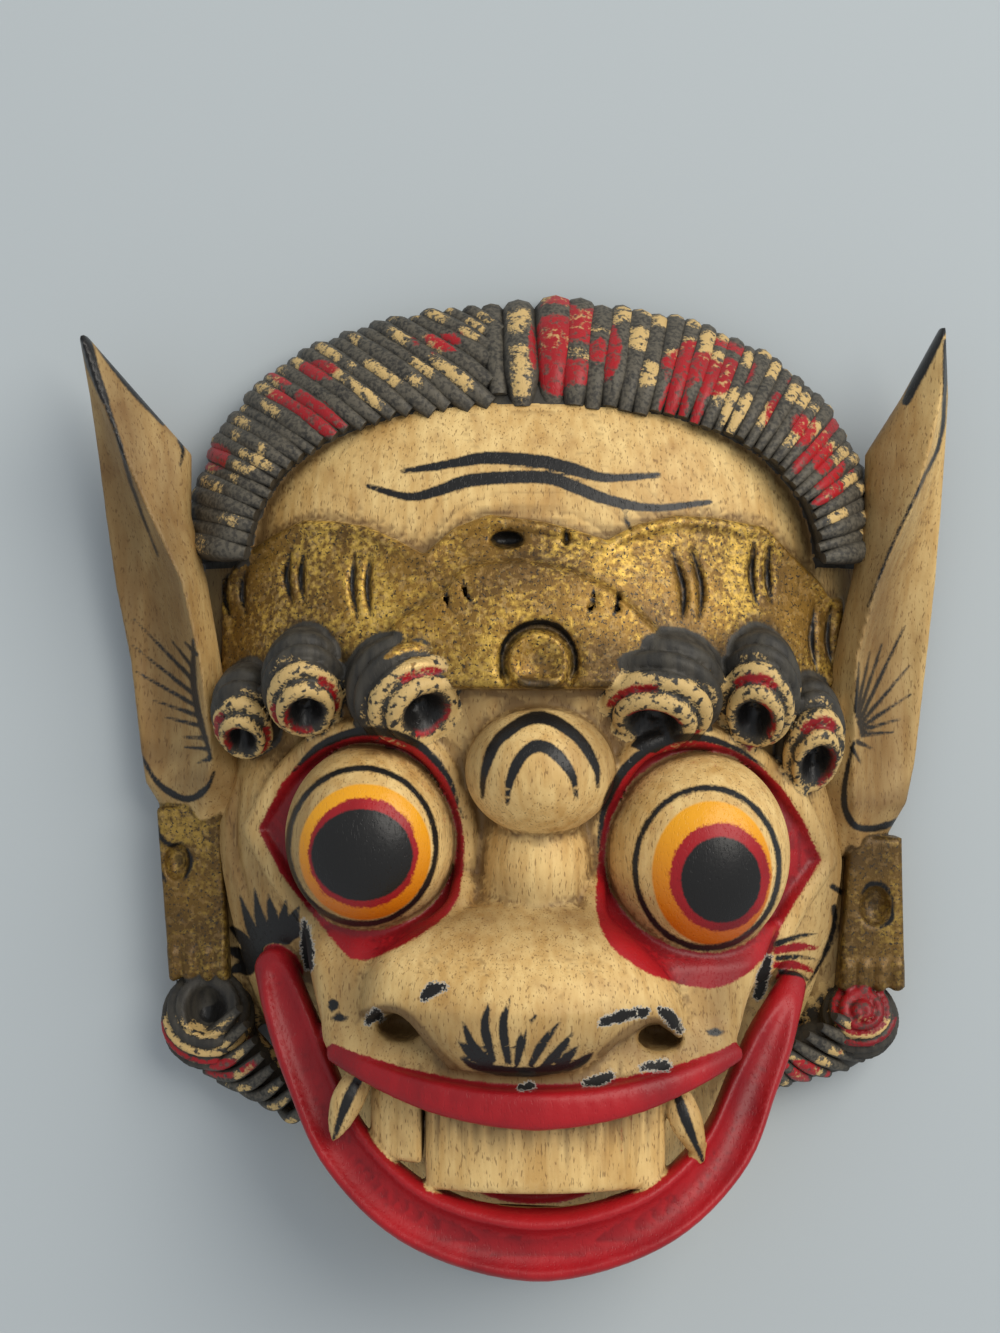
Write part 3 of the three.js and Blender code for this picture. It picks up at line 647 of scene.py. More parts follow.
def carved(name, keep_triangles):
    """The carving on the grid as an object, thinned to the number of triangles, mostly at the back."""
    points, faces = surface(wood)
    mesh = bpy.data.meshes.new(name)
    mesh.from_pydata(points, [], faces)
    piece = bpy.data.objects.new(name, mesh)
    bpy.context.scene.collection.objects.link(piece)
    normals = np.zeros(3 * len(points), dtype=np.float32)
    mesh.vertex_normals.foreach_get("vector", normals)
    seen = normals.reshape(-1, 3)[:, 2] > SEEN_FROM
    plain = piece.vertex_groups.new(name="plain")
    plain.add(np.flatnonzero(~seen).tolist(), 1, "REPLACE")
    plain.add(np.flatnonzero(seen).tolist(), FRONT_WEIGHT, "REPLACE")
    thin = piece.modifiers.new("thin", "DECIMATE")
    thin.ratio = min(1, keep_triangles / (2 * len(faces)))
    thin.vertex_group = "plain"
    thin.vertex_group_factor = 1
    piece.data = bpy.data.meshes.new_from_object(piece.evaluated_get(bpy.context.evaluated_depsgraph_get()))
    piece.modifiers.clear()
    piece.vertex_groups.clear()
    piece.data.polygons.foreach_set("use_smooth", np.ones(len(piece.data.polygons), dtype=bool))
    return piece


def measured(piece):
    """The piece's points, their normals and their place on the view."""
    count = len(piece.data.vertices)
    points, normals = np.zeros(3 * count, dtype=np.float32), np.zeros(3 * count, dtype=np.float32)
    piece.data.vertices.foreach_get("co", points)
    piece.data.vertex_normals.foreach_get("vector", normals)
    points, normals = points.reshape(-1, 3).T, normals.reshape(-1, 3).T
    return points, normals, on_view(*points)


def cavity_at(points):
    solid = (wood < 0).astype(np.float32)
    filled = (blurred(blurred(solid, CAVITY_REACH), 1) + blurred(blurred(solid, 2 * CAVITY_REACH), 2)) / 2
    step = axes[0][1] - axes[0][0]
    cells = [np.rint((place - axis[0]) / step).astype(int) for place, axis in zip(points, axes)]
    return filled[tuple(np.clip(cell, 0, len(axis) - 1) for cell, axis in zip(cells, axes))]


# The paint: brushed on by hand over the cream ground, and laid out here on the view.
# Each colour is kept on the points as a distance in view units, below zero where the colour covers.
FAR = 99.0
STROKE_MARGIN = 20
COLOURS = ["gold", "dark", "cream", "yellow", "red", "ink", "chip", "raw"]


def along_stroke(view, path, width, taper=(0.4, 1, 1, 0.4)):
    """Distance to a brush stroke along a path of view points."""
    across, down = view
    path = smooth_path(path, 4 * len(path)) if len(path) > 2 else np.asarray(path, dtype=float)
    half = width / 2 * np.interp(np.linspace(0, 1, len(path)), np.linspace(0, 1, len(taper)), taper)
    reach = width + STROKE_MARGIN
    near = np.abs(across - path[:, 0].mean()) < np.ptp(path[:, 0]) / 2 + reach * 2
    near &= np.abs(down - path[:, 1].mean()) < np.ptp(path[:, 1]) / 2 + reach * 2
    result = np.full(len(across), FAR)
    x, y = across[near], down[near]
    nearest = np.full(len(x), FAR)
    for k in range(len(path) - 1):
        run = path[k + 1] - path[k]
        share = ((x - path[k, 0]) * run[0] + (y - path[k, 1]) * run[1]) / max(run @ run, 1e-6)
        share = np.clip(share, 0, 1)
        gap = np.hypot(x - path[k, 0] - share * run[0], y - path[k, 1] - share * run[1])
        nearest = np.minimum(nearest, gap - half[k] - share * (half[k + 1] - half[k]))
    result[near] = nearest
    return result


def strokes(view, paths, width, taper=(0.4, 1, 1, 0.4)):
    return np.min([along_stroke(view, path, width, taper) for path in paths], axis=0)


def spots(view, rows):
    """Distance to oval spots, each given as middle across, middle down and two half sizes."""
    across, down = view
    nearest = np.full(len(across), FAR)
    for middle_across, middle_down, wide, high in rows:
        off = np.hypot((across - middle_across) / wide, (down - middle_down) / high) - 1
        nearest = np.minimum(nearest, off * min(wide, high))
    return nearest


def on_form(form, points, margin=0.0007):
    """Distance to a carved form, below zero on its surface and inside it."""
    return (form(*points) - margin) / UNIT


def join(*distances):
    return np.min(np.broadcast_arrays(*distances), axis=0)


def leave(distance, hole):
    """The first colour with the second one's area left free."""
    return np.maximum(distance, -hole)


def paint(piece, cavity, colours):
    for name in COLOURS:
        values = np.full(len(piece.data.vertices), FAR, dtype=np.float32)
        if name in colours:
            values = np.clip(np.broadcast_to(colours[name], values.shape), -FAR, FAR).astype(np.float32)
        piece.data.attributes.new(name, "FLOAT", "POINT").data.foreach_set("value", values)
    cavities = np.broadcast_to(cavity, len(piece.data.vertices)).astype(np.float32)
    piece.data.attributes.new("cavity", "FLOAT", "POINT").data.foreach_set("value", cavities)


def hand_in(piece):
    piece.data.materials.clear()
    piece.data.materials.append(painted_wood)
    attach(piece, "root")
    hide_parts("mask")


FACE_TRIANGLES = 197000
FACING_BACK = -0.2
face = carved("face", FACE_TRIANGLES)
points, normals, view = measured(face)
x, y, z = points
behind = np.where(normals[2] < FACING_BACK, FAR, 0)

# Paint of the brow, the diadem and the boss: gold leaf on the diadem,
# two waved black lines on the forehead and two arches on the boss.
FOREHEAD_LINES = [
    [(403, 471), (445, 465), (488, 458), (544, 462), (575, 470), (608, 478), (659, 475)],
    [(368, 486), (409, 497), (440, 490), (473, 480), (540, 477), (575, 487), (608, 500), (655, 508),
     (710, 502)],
]
BOSS_LINES = [
    [(482, 798), (485, 770), (500, 738), (538, 717), (575, 735), (595, 765), (598, 787)],
    [(507, 804), (510, 780), (522, 756), (538, 746), (556, 754), (572, 775), (577, 800)],
]
DISC_LINE = [(501, 678), (503, 646), (519, 628), (541, 622), (561, 629), (575, 650), (576, 674)]
SLOT_SPOT = (507, 538, 16, 7)
FOREHEAD_BRUSH = 13
GOUGE_BRUSH = 4.5
DISC_BRUSH = 6
BOSS_BRUSH = 11
BOSS_TAPER = (0.3, 1, 1.2, 1, 0.3)
ink = join(strokes(view, FOREHEAD_LINES, FOREHEAD_BRUSH), strokes(view, BOSS_LINES, BOSS_BRUSH, BOSS_TAPER))
ink = join(ink, strokes(view, GOUGE_LINES, GOUGE_BRUSH), along_stroke(view, DISC_LINE, DISC_BRUSH))
ink = join(ink, spots(view, [SLOT_SPOT]))
gold = diadem_plan(x, y) / UNIT

# Paint of the hair: black on the crown and the brows. Worn cream rings and streaks of red
# lie round the hole of each curl, and the hole itself is black; a splash of gold fell on one curl.
CURL_MARGIN = 0.0012
HAIRLINE_SHARE = -0.02
CREAM_RINGS = 1.9
CREAM_RAGGED = 0.35
GROOVE_BARE = 2.5
STREAK_RING, STREAK_BRUSH = 1.10, 3.2
HOLE_RING, HOLE_BRUSH = 0.06, 1.8
STREAK_SWING = 14
GOLD_SPLASHES = [[(386, 658), (408, 646), (434, 650)], [(398, 670), (418, 662), (438, 668)]]
SPLASH_BRUSH = 10
coils = [coil(curl) for curl in CURLS]
dark = join(*[on_form(form, points, CURL_MARGIN) for form in coils])
dark = join(dark, np.where((hair_share(x, y) > HAIRLINE_SHARE) & (y > HAIR_END_Y - 0.002), -FAR, FAR))
cream, red = np.full(len(x), FAR), np.full(len(x), FAR)
for number, (curl, form) in enumerate(zip(CURLS, coils)):
    from_middle, from_axis, turn = coil_place(curl, x, y, z)
    on_curl = on_form(form, points, CURL_MARGIN)
    size = min(curl["radii"]) / UNIT
    ring = ring_number(curl, from_axis, turn)
    ridge = COIL_PITCH * size
    groove = np.abs(ring - np.rint(ring)) * ridge
    ends = CREAM_RINGS + CREAM_RAGGED * np.sin(3 * turn + 2 * number)
    worn_cream = np.maximum(np.maximum((ring - ends) * ridge, -ring * ridge), GROOVE_BARE - groove)
    cream = join(cream, np.maximum(worn_cream, on_curl))
    streak = np.abs(ring - STREAK_RING) * ridge - STREAK_BRUSH
    streak = np.maximum(streak, 3 - STREAK_SWING * np.sin(2 * turn + number))
    rim = np.abs(ring - HOLE_RING) * ridge - HOLE_BRUSH
    rim = np.maximum(rim, 6 + STREAK_SWING * np.sin(turn + number))
    red = join(red, np.maximum(join(streak, rim), on_curl))
    ink = join(ink, np.maximum(ring * ridge, (from_middle - 1.1) * size))
splash = strokes(view, GOLD_SPLASHES, SPLASH_BRUSH)
gold = join(gold, splash)
dark = leave(dark, splash)

# Paint of the eyes: red lids with a black outline, and on each ball a black ring,
# a glossy yellow iris with a red rim and a black pupil.
EYE_RINGS = [(362, 846, 74, 78), (707, 868, 72, 80)]
IRISES = [(365, 852, 66, 68), (712, 873, 60, 72)]
IRIS_RIMS = [(363, 853, 55, 55), (720, 877, 50, 54)]
PUPILS = [(362, 855, 51, 46), (721, 880, 40, 43)]
EYE_BRUSH = 6
LID_BRUSH = 9
LID_TAPER = (0.3, 1, 1, 0.8, 0.2)
LID_MARGIN = 3
RIM_OVERLAP = 3
BALL_MARGIN = 0.0005
LID_LINES = [
    [(292, 772), (320, 746), (364, 731), (412, 741), (446, 774), (463, 818)],
    [(598, 852), (604, 810), (624, 770), (655, 746), (694, 737), (735, 748), (768, 770)],
]
yellow = spots(view, IRISES)
ink = join(ink, strokes(view, LID_LINES, LID_BRUSH, LID_TAPER))
red = join(red, leave(spots(view, IRIS_RIMS), spots(view, PUPILS) + RIM_OVERLAP))
ink = join(ink, spots(view, PUPILS))
for lid, ball, ring in zip(LIDS, BALLS, EYE_RINGS):
    on_ball = on_form(ellipsoid(*ball), points, BALL_MARGIN)
    red = join(red, leave(outline_distance(*view, smooth_path(lid, 60)) + LID_MARGIN, on_ball))
    ink = join(ink, np.maximum(np.abs(spots(view, [ring])) - EYE_BRUSH / 2, on_ball))

# Paint of the nose and the muzzle: a fan of black brush strokes on the tip,
# and old knocks that show the dark wood inside a pale rim of ground.
FAN = [
    [(486, 1065), (472, 1055), (458, 1041)], [(491, 1062), (473, 1046), (463, 1022)],
    [(493, 1060), (485, 1028), (489, 1003)], [(508, 1062), (503, 1026), (510, 998)],
    [(517, 1064), (523, 1036), (536, 1015)], [(531, 1065), (543, 1043), (560, 1022)],
    [(543, 1067), (557, 1053), (574, 1032)], [(557, 1067), (567, 1058), (579, 1046)],
    [(567, 1069), (581, 1062), (593, 1053)],
]
FAN_BASE = [(462, 1058), (478, 1067), (520, 1072), (562, 1068), (588, 1058)]
KNOCKS = [
    [(422, 998), (432, 990), (444, 987)], [(368, 1022), (374, 1016), (380, 1018)],
    [(600, 1024), (620, 1016), (645, 1012)], [(661, 1010), (670, 1016), (679, 1030)],
    [(586, 1083), (600, 1080), (610, 1075)], [(642, 1068), (656, 1065), (668, 1066)],
    [(304, 922), (307, 945), (309, 966)], [(769, 958), (763, 976), (758, 996)], [(521, 1087), (530, 1086)],
]
FAN_BRUSH = 10
FAN_TAPER = (0.6, 1, 0.8, 0.2)
KNOCK_WIDTH = 13
KNOCK_TAPER = (0.6, 1.1, 0.8)
MUZZLE_SPOTS = [(333, 1005, 6, 6), (340, 1018, 8, 4), (715, 1032, 9, 4)]
ink = join(ink, strokes(view, FAN, FAN_BRUSH, FAN_TAPER), along_stroke(view, FAN_BASE, FAN_BRUSH))
ink = join(ink, spots(view, MUZZLE_SPOTS))
chip = strokes(view, KNOCKS, KNOCK_WIDTH, KNOCK_TAPER)

# Paint of the mouth and the cheeks: red lips and gums round bare cream teeth, a black line on each fang,
# and on the cheeks a fan of black hairs to the left, black and red lines to the right, and hair down the jaw.
CHEEK_FAN = [
    [(262, 950), (250, 925), (240, 896)], [(269, 946), (260, 918), (254, 888)],
    [(277, 942), (272, 914), (268, 894)], [(286, 938), (284, 918), (286, 900)],
    [(256, 954), (240, 936), (226, 922)], [(250, 960), (236, 952), (222, 948)],
    [(248, 968), (238, 968), (226, 974)], [(294, 932), (294, 918), (299, 906)],
]
CHEEK_LINES = [
    [(776, 944), (800, 936), (818, 934)], [(778, 958), (800, 957), (818, 960)],
    [(780, 972), (798, 974), (810, 982)], [(832, 886), (845, 897), (843, 920), (831, 945), (809, 981)],
    [(834, 907), (834, 927), (820, 963), (804, 990)],
]
CHEEK_RED = [[(776, 951), (798, 947), (816, 948)], [(776, 965), (796, 965), (812, 971)]]
JOWL_HAIR = [
    [(786, 1040), (800, 1018), (816, 1000), (838, 978), (852, 986), (848, 1010), (836, 1046), (800, 1060)],
    [(224, 975), (238, 985), (256, 1012), (276, 1046), (300, 1096), (280, 1092), (250, 1050), (230, 1014)],
]
JOWL_DABS = [
    [(838, 976), (831, 986)], [(822, 986), (827, 996)], [(811, 1000), (819, 1008)],
    [(799, 1012), (806, 1020)], [(224, 969), (232, 985)], [(240, 992), (244, 1006)],
    [(254, 1012), (258, 1024)], [(264, 1034), (268, 1044)], [(276, 1054), (280, 1064)],
]
FANG_BRUSH = 11
CHEEK_BRUSH = 6
CHEEK_FAN_BRUSH = 15
CHEEK_RED_BRUSH = 9
JOWL_BRUSH = 9
PAINT_MARGIN = 0.001
MOUTH_MARGIN = 0.002
on_teeth = join(on_form(teeth, points), *[on_form(fang, points, PAINT_MARGIN) for fang in fangs])
on_lip, on_band = on_form(lip, points, PAINT_MARGIN), on_form(band, points, PAINT_MARGIN)
in_mouth = np.maximum(on_form(ellipsoid(*MOUTH), points, MOUTH_MARGIN), -on_form(lip, points, MOUTH_MARGIN))
red = join(red, on_lip, leave(join(on_band, in_mouth), on_teeth))
for fang in FANGS:
    line = [on_view(*point) for point in fang]
    ink = join(ink, np.maximum(along_stroke(view, line, FANG_BRUSH, (0.8, 1, 0.3)), on_teeth))
ink = join(ink, strokes(view, CHEEK_LINES, CHEEK_BRUSH, (1, 0.8, 0.2)))
ink = join(ink, leave(strokes(view, CHEEK_FAN, CHEEK_FAN_BRUSH, (1, 0.7, 0.1)), on_band))
red = join(red, strokes(view, CHEEK_RED, CHEEK_RED_BRUSH, (0.8, 1, 0.4)))
dark = join(dark, *[on_form(bed, points, PAINT_MARGIN) for bed in beds])
dark = join(dark, leave(join(*[outline_distance(*view, hair) for hair in JOWL_HAIR]), on_band))
cream = join(cream, leave(strokes(view, JOWL_DABS, JOWL_BRUSH, (1, 1, 0.7)), on_band))

# The back stays bare wood. Painted shadow lies under the snout's wings and below the disc; brown stains and
# painted shade lie in creases, under the nose and on the left cheek. All are kept with the cavity as if those
# places were hollows.
RIM_FLAT = 0.0006
UNDERSIDE = -0.5
HOLLOW_MARGIN = 0.002
# Painted shadow: brown lines under the arches of the snout's wings and below the disc, kept as deep hollows.
PAINTED_SHADOW_LINES = [
    [(362, 1014), (384, 1010), (402, 1014), (420, 1030), (438, 1053), (456, 1069)],
    [(600, 1055), (622, 1036), (648, 1022), (664, 1028), (678, 1046)], [(524, 682), (545, 686), (562, 692)],
]
# Brown stains, which are painted shade as well where they lie in creases, under the snout's wings and on the
# left cheek.
STAINS_AND_SHADE = [
    (216, 870, 20, 80), (250, 905, 12, 30), (300, 900, 4, 30), (345, 985, 4, 20), (226, 560, 4, 40),
    (838, 900, 4, 50), (720, 1005, 4, 16), (480, 915, 10, 3), (575, 915, 10, 3), (405, 1040, 20, 6),
    (440, 1068, 10, 4), (640, 1044, 24, 5), (470, 715, 4, 8), (604, 715, 4, 8),
]
PAINTED_SHADOW_BRUSH = 4
PAINTED_SHADOW_DEPTH, PAINTED_SHADOW_FALL = 0.72, 0.028
STAIN_AND_SHADE_DEPTH, STAIN_AND_SHADE_FALL = 0.62, 0.0024
hollowed = (np.abs(hollow(x, y, z)) - HOLLOW_MARGIN) / UNIT
raw = np.where((z < RIM_FLAT) | (normals[2] < UNDERSIDE), -FAR, hollowed)
painted_shadow = PAINTED_SHADOW_DEPTH - PAINTED_SHADOW_FALL * np.maximum(strokes(view, PAINTED_SHADOW_LINES, PAINTED_SHADOW_BRUSH), 0)
stain_and_shade = STAIN_AND_SHADE_DEPTH - STAIN_AND_SHADE_FALL * np.maximum(spots(view, STAINS_AND_SHADE), 0)
cavity = np.max([cavity_at(points), painted_shadow, stain_and_shade], axis=0)
paint(face, cavity, {
    "gold": gold + behind, "dark": dark + behind, "cream": cream + behind, "yellow": yellow + behind,
    "red": red + behind, "ink": ink + behind, "chip": chip + behind, "raw": raw,
})

# The finish: worn hand paint on wood, in coats laid one over the other. A cream ground with dark pores, and
# grime with painted shade in its recesses; tarnished gold leaf; matt black with dry dabs of cream; glossy
# yellow, red and ink.
# Chips go through all of them, and the back has none.
def srgb(*parts):
    shares = [part / 255 for part in parts]
    return tuple(s / 12.92 if s < 0.04045 else ((s + 0.055) / 1.055) ** 2.4 for s in shares) + (1,)


CREAM_LIGHT = srgb(232, 199, 134)
CREAM_DARK = srgb(200, 159, 94)
CREAM_BROWN = srgb(158, 112, 58)
PORE = srgb(116, 82, 44)
GRIME_AND_SHADE = srgb(82, 54, 26)
RUBBED = srgb(236, 208, 150)
GOLD = srgb(150, 112, 44)
GOLD_BRIGHT = srgb(216, 176, 80)
GOLD_BROWN = srgb(104, 76, 34)
GOLD_DARK = srgb(48, 37, 20)
CHARCOAL = srgb(46, 44, 40)
CHARCOAL_PALE = srgb(92, 86, 74)
DAB = srgb(204, 172, 112)
YELLOW = srgb(236, 164, 30)
AMBER = srgb(196, 96, 10)
RED = srgb(168, 21, 29)
RED_DEEP = srgb(122, 14, 22)
INK = srgb(26, 25, 24)
GESSO = srgb(206, 202, 190)
RAW_WOOD = srgb(150, 112, 72)
RAW_WOOD_DARK = srgb(98, 68, 40)
GOLD_ROUGHNESS = 0.46
BLACK_ROUGHNESS = 0.62
IRIS_ROUGHNESS = 0.30
RED_ROUGHNESS = 0.42
INK_ROUGHNESS = 0.36
CHIP_ROUGHNESS = 0.80
RAW_ROUGHNESS = 0.85
AMBER_Y = -0.034
YELLOW_Y = -0.004


def place(tree, kind, sockets=None, **settings):
    """A new node with its settings; a socket gets a link or a plain value."""
    made = tree.nodes.new(kind)
    for name, value in settings.items():
        setattr(made, name, value)
    for name, value in (sockets or {}).items():
        if isinstance(value, bpy.types.NodeSocket):
            tree.links.new(value, made.inputs[name])
        else:
            made.inputs[name].default_value = value
    return made


def reckon(tree, operation, a, b):
    return place(tree, "ShaderNodeMath", {0: a, 1: b}, operation=operation).outputs[0]


def ramp(tree, value, low, high, to_low=0.0, to_high=1.0):
    sockets = {"Value": value, "From Min": low, "From Max": high, "To Min": to_low, "To Max": to_high}
    return place(tree, "ShaderNodeMapRange", sockets).outputs[0]


def speckle(tree, where, scale, stretch=(1, 1, 1), detail=2.0):
    spread = place(tree, "ShaderNodeVectorMath", {0: where, 1: stretch}, operation="MULTIPLY").outputs[0]
    return place(tree, "ShaderNodeTexNoise", {"Vector": spread, "Scale": scale, "Detail": detail}).outputs[0]


def cover(tree, share, under, over):
    return place(tree, "ShaderNodeMix", {0: share, 6: under, 7: over}, data_type="RGBA").outputs[2]


def cover_value(tree, share, under, over):
    return place(tree, "ShaderNodeMix", {0: share, 2: under, 3: over}, data_type="FLOAT").outputs[0]


brushed = bpy.data.node_groups.new("Brushed edge", "ShaderNodeTree")
for name in ("Distance", "Wobble", "Dryness"):
    brushed.interface.new_socket(name, in_out="INPUT", socket_type="NodeSocketFloat")
brushed.interface.new_socket("Place", in_out="INPUT", socket_type="NodeSocketVector")
brushed.interface.new_socket("Mask", in_out="OUTPUT", socket_type="NodeSocketFloat")
given = brushed.nodes.new("NodeGroupInput").outputs
broad = reckon(brushed, "SUBTRACT", speckle(brushed, given["Place"], 260), 0.5)
fine = reckon(brushed, "SUBTRACT", speckle(brushed, given["Place"], 1500), 0.5)
shake = reckon(brushed, "MULTIPLY", reckon(brushed, "ADD", broad, fine), given["Wobble"])
edge = ramp(brushed, reckon(brushed, "ADD", given["Distance"], shake), 1.0, -1.0)
worn = ramp(brushed, speckle(brushed, given["Place"], 480, detail=4.0), 0.53, 0.62)
kept = reckon(brushed, "SUBTRACT", 1.0, reckon(brushed, "MULTIPLY", worn, given["Dryness"]))
finish = brushed.nodes.new("NodeGroupOutput")
brushed.links.new(reckon(brushed, "MULTIPLY", edge, kept), finish.inputs["Mask"])

painted_wood = bpy.data.materials.new("painted wood")
painted_wood.use_nodes = True
wood_tree = painted_wood.node_tree
shader = wood_tree.nodes["Principled BSDF"]
here = place(wood_tree, "ShaderNodeTexCoord").outputs["Object"]
times = partial(reckon, wood_tree, "MULTIPLY")
plus = partial(reckon, wood_tree, "ADD")
minus = partial(reckon, wood_tree, "SUBTRACT")
fade = partial(ramp, wood_tree)
noise = partial(speckle, wood_tree, here)
coat = partial(cover, wood_tree)
coat_value = partial(cover_value, wood_tree)


def attribute(name):
    return place(wood_tree, "ShaderNodeAttribute", attribute_name=name).outputs["Fac"]


def brush(distance, wobble, dryness=0.0):
    """Where a colour covers: its kept distance with a shaky edge, and gaps where the brush ran dry."""
    sockets = {"Distance": distance, "Wobble": wobble, "Dryness": dryness, "Place": here}
    return place(wood_tree, "ShaderNodeGroup", sockets, node_tree=brushed).outputs["Mask"]


clouds = noise(55, (1, 0.6, 1), 4.0)
streaks = noise(380, (1, 0.12, 1), 3.0)
pores = fade(noise(1900, (1, 0.24, 1), 1.0), 0.60, 0.70)
grains = noise(900, detail=3.0)
# How deep a point sits in a hollow, for grime and painted shade there; how far it stands out, for rubbed
# wear.
recess_grime_and_shade = fade(attribute("cavity"), 0.51, 0.67)
proud = fade(attribute("cavity"), 0.42, 0.22)
rub = times(proud, fade(grains, 0.40, 0.62))

# Cream ground
colour = coat(fade(plus(clouds, streaks), 0.75, 1.25), CREAM_DARK, CREAM_LIGHT)
mottle = fade(noise(150, (1, 0.7, 1), 6.0), 0.54, 0.74, 0, 0.45)
colour = coat(mottle, colour, CREAM_BROWN)
colour = coat(times(pores, 0.6), colour, PORE)
# Grime and painted shade darken the cream in the recesses.
colour = coat(times(recess_grime_and_shade, 0.8), colour, GRIME_AND_SHADE)
colour = coat(times(rub, 0.6), colour, RUBBED)
rough = fade(clouds, 0.3, 0.7, 0.52, 0.70)

# Gold leaf, brown where it is tarnished, dark in specks, and dark in recesses with grime and painted shade
gilt = brush(attribute("gold"), 3.0, 0.25)
tarnish = fade(noise(42, detail=5.0), 0.40, 0.62)
glints = fade(plus(clouds, noise(620, detail=4.0)), 0.98, 1.25)
specks = fade(noise(1300), 0.42, 0.34)
leaf = coat(glints, coat(tarnish, GOLD_BROWN, GOLD), GOLD_BRIGHT)
leaf = coat(times(recess_grime_and_shade, 0.85), coat(specks, leaf, GOLD_DARK), GOLD_DARK)
colour = coat(gilt, colour, leaf)
rough = coat_value(gilt, rough, GOLD_ROUGHNESS)
metal = times(gilt, minus(0.4, times(specks, 0.4)))

# Matt black, and dry dabs of cream on it
black = brush(attribute("dark"), 3.0)
soot = coat(fade(plus(streaks, rub), 0.35, 1.1), CHARCOAL, CHARCOAL_PALE)
colour = coat(black, colour, soot)
rough = coat_value(black, rough, BLACK_ROUGHNESS)
metal = times(metal, minus(1.0, black))
colour = coat(brush(attribute("cream"), 8.0, 1.0), colour, DAB)

# Yellow, darker to amber low in the eye
iris = brush(attribute("yellow"), 1.0)
up = place(wood_tree, "ShaderNodeSeparateXYZ", {0: here}).outputs["Y"]
colour = coat(iris, colour, coat(fade(up, AMBER_Y, YELLOW_Y), AMBER, YELLOW))
rough = coat_value(iris, rough, IRIS_ROUGHNESS)

# Red, scuffed where it lies on the black; deeper at random, and in recesses with grime and painted shade
scuffs = fade(noise(620, detail=4.0), 0.50, 0.64, 0, 0.75)
lacquer = fade(minus(brush(attribute("red"), 4.0), times(black, scuffs)), 0, 1)
blood = coat(fade(plus(clouds, times(recess_grime_and_shade, 0.5)), 0.45, 0.9), RED, RED_DEEP)
colour = coat(lacquer, colour, blood)
rough = coat_value(lacquer, rough, RED_ROUGHNESS)

# Ink, and chips with a pale rim
line = brush(attribute("ink"), 2.0)
colour = coat(line, colour, INK)
rough = coat_value(line, rough, INK_ROUGHNESS)
chipped = brush(attribute("chip"), 8.0)
core = brush(plus(attribute("chip"), 0.8), 8.5)
colour = coat(core, coat(chipped, colour, GESSO), INK)
rough = coat_value(chipped, rough, CHIP_ROUGHNESS)

# Bare wood
bare = brush(attribute("raw"), 2.0)
plain = coat(fade(plus(streaks, clouds), 0.7, 1.3), RAW_WOOD_DARK, RAW_WOOD)
colour = coat(bare, colour, coat(pores, plain, RAW_WOOD_DARK))
rough = coat_value(bare, rough, RAW_ROUGHNESS)

height = plus(minus(times(grains, 0.35), times(pores, 0.5)), times(streaks, 0.6))
bump = place(wood_tree, "ShaderNodeBump", {"Height": height, "Strength": 0.35, "Distance": 0.0006})
wood_tree.links.new(colour, shader.inputs["Base Color"])
wood_tree.links.new(rough, shader.inputs["Roughness"])
wood_tree.links.new(metal, shader.inputs["Metallic"])
wood_tree.links.new(bump.outputs[0], shader.inputs["Normal"])
shader.inputs["Specular IOR Level"].default_value = 0.3
shader.inputs["Coat Weight"].default_value = 0.08
shader.inputs["Coat Roughness"].default_value = 0.28
hand_in(face)

# The ears: tall blades of the same wood with a scooped front, a thin outer edge, a ridge and a pointed tip.
# They have a grid of their own, with the ornaments and the side curls that stand below them.
# Rows run up the ear: y, outer edge x and z, ridge x and z, inner edge x and z, depth of the scoop.
EAR_CELL = 0.00085
EAR_LOW = (-0.1290, -0.0840, -0.0030)
EAR_HIGH = (0.1290, 0.1380, 0.0440)
axes = [np.arange(low, high, EAR_CELL, dtype=np.float32) for low, high in zip(EAR_LOW, EAR_HIGH)]
wood = np.full([len(axis) for axis in axes], 0.05, dtype=np.float32)

EARS = [
    [(-0.012, -0.101, 0.012, -0.093, 0.018, -0.082, 0.016, 0.000),
     (0.002, -0.1090, 0.016, -0.089, 0.027, -0.080, 0.022, 0.002),
     (0.012, -0.1105, 0.016, -0.0870, 0.031, -0.0815, 0.024, 0.006),
     (0.038, -0.1135, 0.016, -0.0900, 0.035, -0.0855, 0.028, 0.010),
     (0.060, -0.1175, 0.018, -0.0945, 0.038, -0.0890, 0.030, 0.010),
     (0.080, -0.1198, 0.021, -0.1040, 0.038, -0.0940, 0.028, 0.008),
     (0.098, -0.1213, 0.025, -0.1120, 0.037, -0.0945, 0.024, 0.004),
     (0.114, -0.1228, 0.029, -0.1185, 0.035, -0.1085, 0.027, 0.001),
     (0.131, -0.1249, 0.034, -0.1240, 0.035, -0.1230, 0.034, 0.000)],
    [(-0.020, 0.107, 0.012, 0.101, 0.018, 0.090, 0.016, 0.000),
     (-0.004, 0.1155, 0.016, 0.098, 0.027, 0.089, 0.022, 0.002),
     (0.008, 0.1180, 0.016, 0.097, 0.031, 0.088, 0.024, 0.006),
     (0.038, 0.1215, 0.016, 0.0970, 0.035, 0.0920, 0.028, 0.009),
     (0.060, 0.1235, 0.018, 0.1025, 0.038, 0.0970, 0.030, 0.008),
     (0.080, 0.1245, 0.021, 0.1120, 0.038, 0.1010, 0.028, 0.006),
     (0.098, 0.1249, 0.025, 0.1175, 0.037, 0.1022, 0.024, 0.003),
     (0.114, 0.1249, 0.029, 0.1215, 0.035, 0.112, 0.027, 0.001),
     (0.133, 0.1230, 0.034, 0.1224, 0.035, 0.1216, 0.034, 0.000)],
]
EAR_THICKNESS = 0.0075
EAR_FACE_ROUNDING = 0.001
EAR_EDGE_ROUNDING = 0.003
EAR_MARGIN = 0.004


